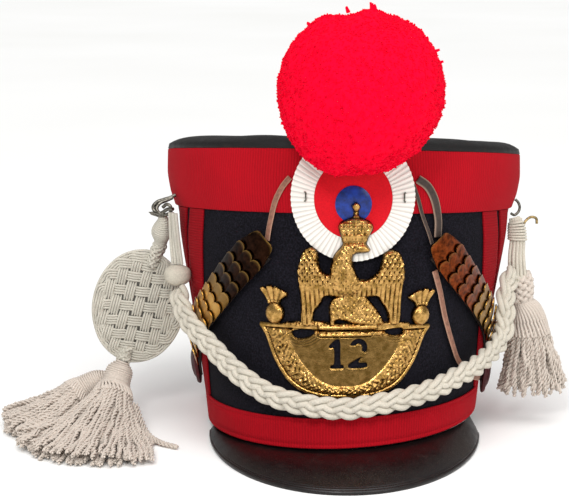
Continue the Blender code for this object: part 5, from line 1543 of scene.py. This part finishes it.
def declare_cords():
    """Go over the free cords' paths, real sizes and the pieces on them; nothing is kept or passed
    on.
    """
    free = [("plaited_cord", smooth_line(from_hat(PLAIT_ROUTE), 60), PLAIT_DIAMETER,
             ("woven_raquette", "tassel_left_front_cotton", "bundled_cords",
              "tassel_right_cotton"))]
    for (name, points), on_it in zip(LEFT_CORDS.items(), (("slide_barrel",), ())):
        free.append((name + "_cotton", table_line(points, 24), LEFT_CORD_DIAMETER, on_it))
    for name, line, diameter, on_it in free:
        tuple(line[0])
        path_length(line)
        [tuple(point) for point in line]


def sections(path, count):
    """Smooth centres, half widths, half depths and the two directions across a path."""
    line = smooth_line([(*centre, wide, deep) for centre, wide, deep in path], count) * MM
    centre = from_table(line[:, :3])
    ahead = unit(np.gradient(centre, axis=0))
    side = np.cross(ahead, (0.0, 0, 1))
    if np.linalg.norm(side, axis=1).mean() < 0.35:
        side[:] = (1.0, 0.0, 0.0)
    side = square_to(ahead, side)
    return centre, line[:, 3], line[:, 4], side, unit(np.cross(side, ahead))


def between(tables, at):
    """The rows of each table at places between its steps."""
    whole = np.arange(len(tables[0]))
    return [np.interp(at, whole, values) if values.ndim == 1 else
            np.stack([np.interp(at, whole, column) for column in values.T], -1)
            for values in tables]


def around(section, turn, grow=0.0):
    """Points at an angle round a path's centres, that far outside its surface."""
    centre, wide, deep, side, other = section
    return (centre + side * ((wide + grow) * np.cos(turn))[..., None]
            + other * ((deep + grow) * np.sin(turn))[..., None])


def build_hooks():
    """Wire hooks that the cords hang on."""
    for name, points in HOOKS.items():
        routes, bulk = [points], 0.9 * MM
        if name == "side_hook_left":
            routes, bulk = [points, *HOOK_COIL], 1.2 * MM
        pointed = np.clip(np.linspace(7.0, 0.0, 64), 0.3, 1.0)
        taper = [np.ones(64), np.ones(64), pointed][:len(routes)]
        finish, slot = ("gilt wire", "brass") if name[:4] == "cord" else ("steel", "dark_wire")
        mesh = swept(name, [table_line(route, 64) for route in routes], bulk, 10, finish, taper)
        piece(name + "_wire", mesh, finish, (name,))


def core_mesh(name, path, share, count=40, columns=48, last=None):
    """A plain tapering core under woven or hanging strands."""
    centre, wide, deep, side, other = (values[:last, None] for values in sections(path, count))
    rows = around((centre, wide * share, deep * share, side, other), once_round(columns))
    rows[..., 2] = np.maximum(rows[..., 2], TABLE_CLEAR)
    return tidy(grid_mesh(name, rows, ring=True))


def woven_lines(path, low, high, cords, turns, radius, count=90, ways=(1.0, -1.0)):
    """Helices over a path's surface; those of opposite ways pass over and under."""
    at = np.linspace(low, high, count) * (PATH_STEPS - 1)
    section = between(sections(path, PATH_STEPS), at)
    share = np.linspace(0, 1, count)
    weave = 0.45 * radius * (len(ways) - 1) * np.cos(math.tau * turns * cords * share)
    return [around(section, math.tau * (k / cords + way * turns * share),
                   way * weave - 0.6 * radius) for way in ways for k in range(cords)]


def wound_lines(path, low, high, radius):
    """One thread wound round a path's surface, turn against turn."""
    section = sections(path, PATH_STEPS)
    turns = path_length(section[0]) * (high - low) / (1.9 * radius)
    at = np.linspace(low, high, int(turns * 20)) * (PATH_STEPS - 1)
    turn = np.linspace(0, math.tau * turns, len(at))
    return [around(between(section, at), turn, -0.7 * radius)]


def crossings(line):
    """Where a closed flat line crosses itself: pairs of positions along it."""
    def cross(a, b):
        return a[..., 0] * b[..., 1] - a[..., 1] * b[..., 0]

    span, count, found = np.roll(line, -1, axis=0) - line, len(line), []
    for i in range(count - 2):
        others = np.arange(i + 2, count if i else count - 1)
        offset, angle = line[others] - line[i], cross(span[i], span[others])
        with np.errstate(divide='ignore', invalid='ignore'):
            s, t = cross(offset, span[others]) / angle, cross(offset, span[i]) / angle
        for k in np.flatnonzero((s >= 0) & (s < 1) & (t >= 0) & (t < 1)):
            found.append((i + float(s[k]), int(others[k]) + float(t[k])))
    return found


def on_raquette(across, off, up):
    """Points of the leaning oval, from its own millimetres to the shared frame."""
    lean = math.radians(RAQUETTE_LEAN)
    x = across * math.cos(lean) + up * math.sin(lean)
    z = up * math.cos(lean) - across * math.sin(lean)
    return from_table((np.stack((x, off + 0.0 * x, z), -1) + RAQUETTE_CENTRE) * MM)


def raquette_band(half):
    """A flat line that fills the oval in a basket weave, and how high it passes at each point."""
    def zigzag(turn):
        return np.arcsin(WEAVE_SOFTNESS * np.sin(turn)) / math.asin(WEAVE_SOFTNESS)

    turn = once_round(2400)
    u, v = zigzag(WEAVE_TURNS[0] * turn), zigzag(WEAVE_TURNS[1] * turn + math.pi / 2.0)
    disc_x, disc_y = u * np.sqrt(1 - v * v / 2), v * np.sqrt(1 - u * u / 2)
    flat = np.stack(((disc_x - disc_y) * (RAQUETTE_HALF[0] - half),
                     (disc_x + disc_y) * (RAQUETTE_HALF[2] - half)), -1) * math.sqrt(0.5)
    closed = np.vstack((flat, flat[:1]))
    flat = respaced(np.hstack((closed, np.zeros((len(closed), 1)))), 1201)[:-1, :2]
    order = sorted((place, i) for i, pair in enumerate(crossings(flat)) for place in pair)
    passes, over, heights = {}, 1.0, []
    for _, i in order:
        heights.append(-passes[i] if i in passes else over)
        passes[i] = heights[-1]
        over = -heights[-1]
    places, count = np.array([place for place, _ in order]), len(flat)
    level = np.interp(np.arange(-4, count + 4),
                      np.concatenate((places - count, places, places + count)),
                      np.tile(heights, 3))
    return flat, np.convolve(level, bell(9), mode='valid')


def raquette_lines():
    """One flat band of four cords woven through itself over an oval, and its bound edge."""
    cord = sizes().raquette_cord / MM
    flat, level = raquette_band(4 * cord)
    ahead = unit(np.roll(flat, -1, axis=0) - np.roll(flat, 1, axis=0))
    turn = once_round(240)
    lines = []
    for k in range(4):
        offset = (k - 1.5) * 2 * cord * 0.98
        lines.append(on_raquette(flat[:, 0] - ahead[:, 1] * offset, -level * 1.5 * cord,
                                 flat[:, 1] + ahead[:, 0] * offset))
    for k in range(4):
        reach = (2 * k + 1) * cord
        lines.append(on_raquette((RAQUETTE_HALF[0] - reach) * np.cos(turn),
                                 0.5 * cord * np.sin(9 * turn + k),
                                 (RAQUETTE_HALF[2] - reach) * np.sin(turn)))
    return [np.vstack((line, line[:3])) for line in lines]


def build_raquette():
    """The flat woven oval with its knob above and its neck below."""
    turn = once_round(72)
    share, deep = np.array(((0.02, -0.3), (0.9, -0.3), (0.9, 0.3), (0.02, 0.3))).T[..., None]
    # painted shade: a dark sheet behind the weave, so that its gaps look shadowed
    backing = tidy(grid_mesh("backing", on_raquette(RAQUETTE_HALF[0] * share * np.cos(turn), deep,
                                                    RAQUETTE_HALF[2] * share * np.sin(turn)),
                             ring=True))
    point_attribute(backing, "painted_dark_and_oxide", np.ones(len(backing.vertices)))
    meshes = [backing]
    for name, lines, radius, sides in (
            ("mat", raquette_lines(), sizes().raquette_cord, 6),
            ("knob", wound_lines(KNOB_PATH, 0.0, 0.6, 0.8 * MM), 0.8 * MM, 7),
            ("tail", woven_lines(KNOB_PATH, 0.6, 1.0, 5, 0.8, 0.95 * MM), 0.95 * MM, 7),
            ("neck", woven_lines(NECK_PATH, 0.0, 1.0, 5, 0.6, 1.0 * MM), 1.0 * MM, 7)):
        meshes.append(swept(name, lines, radius, sides, "grey cotton"))
    meshes.insert(2, core_mesh("knob_core", KNOB_PATH, 0.86))
    meshes.insert(3, core_mesh("neck_core", NECK_PATH, 0.86, 16))
    piece("woven_raquette", joined("raquette", meshes), "grey cotton",
          ("raquette_left",))


def strand_lines(name, start, strands, seed, radius, samples=15):
    """Strands from a share of a tassel's length: they hang, or fan out over the table."""
    rng = np.random.default_rng(seed)
    tables, last = sections(TASSELS[name], 240), 239
    beyond = tables[0][-1] - tables[0][-2]
    lines = []
    for i in range(strands):
        turn = math.tau * (i * GOLDEN_SHARE + rng.uniform(-0.02, 0.02))
        share = math.sqrt(rng.uniform(0.5, 1.0))
        at = np.linspace(start, 1.0 + rng.uniform(-0.1, 0.03), samples) * last
        inner = np.clip(at, 0, last)
        centre, wide, deep, side, other = between(tables, inner)
        grow = np.linspace(0, 1, samples)
        angle = turn + rng.uniform(-0.2, 0.2) * np.sin(grow * rng.uniform(2.0, 5.0))
        spread = share + 0.05 * np.sin(grow * rng.uniform(4, 9) + rng.uniform(0, 6.3)) * grow
        wide, deep = (np.maximum(half - radius, 0.2 * MM) * spread for half in (wide, deep))
        line = around((centre + (at - inner)[:, None] * beyond, wide, deep, side, other), angle)
        if name in FANS:
            (x, y), reach, aim, opening = FANS[name]
            left = np.array((-math.sin(math.radians(aim)), math.cos(math.radians(aim)), 0.0))
            outward = math.asin(math.cos(turn)) * 2.0 / math.pi * math.copysign(
                1.0, tables[3][-1] @ left)
            swing = math.radians(aim + opening * outward)
            reach = reach * rng.uniform(0.88, 1.02)
            goal = from_table(np.array((x + reach * math.cos(swing),
                                        y + reach * math.sin(swing), 0.0)) * MM)
            line[:, :2] += (goal - line[-1])[:2] * (grow ** 1.25)[:, None]
        line[:, 2] = np.maximum(line[:, 2], TABLE_CLEAR + radius * rng.uniform(1.0, 1.8))
        place = rng.uniform(0.0, 1.0, 3)
        for axis in (0, 1, 2):
            wander = unevenness(line + place + axis, 15 * MM, seed)
            line[:, axis] += wander * 0.9 * MM * np.minimum(3.0 * grow, 1.0)
        lines.append(line)
    return lines


def two_ply(lines, radius, seed):
    """Each line as two plies twisted round each other."""
    rng = np.random.default_rng(seed)
    plies = []
    for line in lines:
        length = path_length(line)
        line = respaced(line, max(int(length / sizes().ply_length * 5.0), 6))
        ahead = unit(np.gradient(line, axis=0))
        first = unit(np.cross(ahead, (0.31, 0.87, 0.38)))
        second = np.cross(ahead, first)
        turn = np.linspace(0, math.tau * length / sizes().ply_length, len(line))
        turn = turn[:, None] + rng.uniform(0.0, math.tau)
        offset = (first * np.cos(turn) + second * np.sin(turn)) * radius * 0.72
        for way in (1.0, -1.0):
            ply = line + way * offset
            ply[:, 2] = np.maximum(ply[:, 2], TABLE_CLEAR + 0.6 * radius)
            plies.append(ply)
    return plies


TASSEL_PARTS = {               # seed, woven head to, collar to, strands from (shares)
    "tassel_left_front": (3, 0.19, 0.28, 0.235),
    "tassel_left_rear": (5, 0.27, 0.37, 0.33),
    "tassel_right": (8, 0.42, 0.54, 0.48),
}
FANS = {                       # the lying ones: centre, reach, middle and half spread, degrees
    "tassel_left_front": ((-153, -50), 64, 250, 52),
    "tassel_left_rear": ((-178, -20), 54, 198, 44),
}
STRAYS = (                     # strands that stray off the left front tassel, and how many
    (((-140.5, -33, 18), (-134.5, -46, 10), (-129, -56, 5), (-119.5, -66, 2.6),
      (-107.5, -73.5, 1.9)), 3),
    (((-137, -52, 9), (-127.5, -58, 4), (-124.2, -66, 2.4), (-126, -77, 2.2),
      (-129, -92, 2.2)), 2),
)


def build_tassels():
    """Tassels: woven heads, a bound collar, and two-ply strands over a solid core."""
    radius = sizes().strand_radius
    for name, (seed, high, collar, start) in TASSEL_PARTS.items():
        path, lying = TASSELS[name], name in FANS
        lines = strand_lines(name, start, sizes().strands, seed, radius)
        if name == "tassel_left_front":
            for route, count in STRAYS:
                base = table_line(route, 15)
                for k in range(count):
                    offset = np.array(((k - 1.0) * 1.4, 0.6 * k, 0.9 * (k % 2))) * MM
                    lines.append(base + offset * np.linspace(1.0, 0.3, 15)[:, None])
        meshes = [swept("strands", two_ply(lines, radius, seed), 0.62 * radius, 4, "yarn")]
        reach, share = (52, 0.7) if lying else (34, 0.84)
        meshes.append(core_mesh("core", path, share, 60, 40, reach))
        bound = [(woven_lines(path, high, collar, 30, 0.03, 1.05 * MM, 20, (1.0,)), 0.95, 7)]
        if lying:
            bound.insert(0, (wound_lines(path, 0.0, high, 0.8 * MM), 0.8, 7))
        else:
            bound.insert(0, (woven_lines(path, 0.03, 0.26, 7, 0.55, 1.6 * MM), 1.6, 8))
            bound.insert(1, (woven_lines(path, 0.26, high, 30, 0.04, 1.1 * MM, 40, (1.0,)),
                             1.1, 7))
        meshes += [swept("bound", lines, bulk * MM, sides, "grey cotton")
                   for lines, bulk, sides in bound]
        piece(name + "_cotton", joined(name, meshes), "yarn", (name,))


# ---- the add-on

class BuildStage(bpy.types.Operator):
    """Set the floor, the soft lights and the camera"""
    bl_idname = "shako.stage"
    bl_label = "Stage"

    def execute(self, context):
        build_stage()
        return {'FINISHED'}


class BuildCords(bpy.types.Operator):
    """Make the plait, the left cords with their slide and the right bundle"""
    bl_idname = "shako.cords"
    bl_label = "Cords"

    def execute(self, context):
        build_cords()
        return {'FINISHED'}


class BuildTassels(bpy.types.Operator):
    """Make the three tassels"""
    bl_idname = "shako.tassels"
    bl_label = "Tassels"

    def execute(self, context):
        build_tassels()
        return {'FINISHED'}


class BuildRaquette(bpy.types.Operator):
    """Weave the flat oval with its knob and neck"""
    bl_idname = "shako.raquette"
    bl_label = "Raquette"

    def execute(self, context):
        build_raquette()
        declare_cords()
        return {'FINISHED'}


class BuildBody(bpy.types.Operator):
    """Make the felt body and the leather crown"""
    bl_idname = "shako.body"
    bl_label = "Felt and crown"

    def execute(self, context):
        build_body()
        return {'FINISHED'}


class BuildBands(bpy.types.Operator):
    """Make the red bands and the V tapes"""
    bl_idname = "shako.bands"
    bl_label = "Red tapes"

    def execute(self, context):
        build_bands()
        return {'FINISHED'}


class BuildVisor(bpy.types.Operator):
    """Make the visor"""
    bl_idname = "shako.visor"
    bl_label = "Visor"

    def execute(self, context):
        build_visor()
        return {'FINISHED'}


class BuildCockade(bpy.types.Operator):
    """Make the cockade and its staples"""
    bl_idname = "shako.cockade"
    bl_label = "Cockade"

    def execute(self, context):
        build_cockade()
        return {'FINISHED'}


class BuildPlate(bpy.types.Operator):
    """Stamp the brass plate"""
    bl_idname = "shako.plate"
    bl_label = "Plate"

    def execute(self, context):
        build_plate()
        return {'FINISHED'}


class BuildPompom(bpy.types.Operator):
    """Make the woollen pompom"""
    bl_idname = "shako.pompom"
    bl_label = "Pompom"

    def execute(self, context):
        build_pompom()
        return {'FINISHED'}


class BuildChinscales(bpy.types.Operator):
    """Make the straps, scales, bosses and laces"""
    bl_idname = "shako.chinscales"
    bl_label = "Chinscales and laces"

    def execute(self, context):
        build_chinscales()
        build_laces()
        return {'FINISHED'}


class BuildHooks(bpy.types.Operator):
    """Bend the wire hooks"""
    bl_idname = "shako.hooks"
    bl_label = "Hooks"

    def execute(self, context):
        build_hooks()
        return {'FINISHED'}


STEPS = (BuildStage, BuildCords, BuildTassels, BuildRaquette, BuildBody, BuildBands, BuildVisor,
         BuildCockade, BuildPlate, BuildPompom, BuildChinscales, BuildHooks)


class ShakoPanel(bpy.types.Panel):
    """The hat's sizes, colours and building steps"""
    bl_idname = "SHAKO_PT_build"
    bl_label = "Parade shako"
    bl_space_type = 'VIEW_3D'
    bl_region_type = 'UI'
    bl_category = "Shako"

    def draw(self, context):
        for group in (context.scene.shako_sizes, context.scene.shako_colours):
            box = self.layout.column()
            for name in group.__annotations__:
                box.prop(group, name)
        for step in STEPS:
            self.layout.operator(step.bl_idname)


CLASSES = (ShakoSizes, ShakoColours, *STEPS, ShakoPanel)


def register():
    for item in CLASSES:
        bpy.utils.register_class(item)
    bpy.types.Scene.shako_sizes = PointerProperty(type=ShakoSizes)
    bpy.types.Scene.shako_colours = PointerProperty(type=ShakoColours)


def unregister():
    del bpy.types.Scene.shako_colours
    del bpy.types.Scene.shako_sizes
    for item in reversed(CLASSES):
        bpy.utils.unregister_class(item)


def main():
    register()
    bpy.ops.shako.stage()
    bpy.ops.shako.cords()
    bpy.ops.shako.tassels()
    bpy.ops.shako.raquette()
    bpy.ops.shako.body()
    bpy.ops.shako.bands()
    bpy.ops.shako.visor()
    bpy.ops.shako.cockade()
    bpy.ops.shako.plate()
    bpy.ops.shako.pompom()
    bpy.ops.shako.chinscales()
    bpy.ops.shako.hooks()


if __name__ == "__main__":
    main()
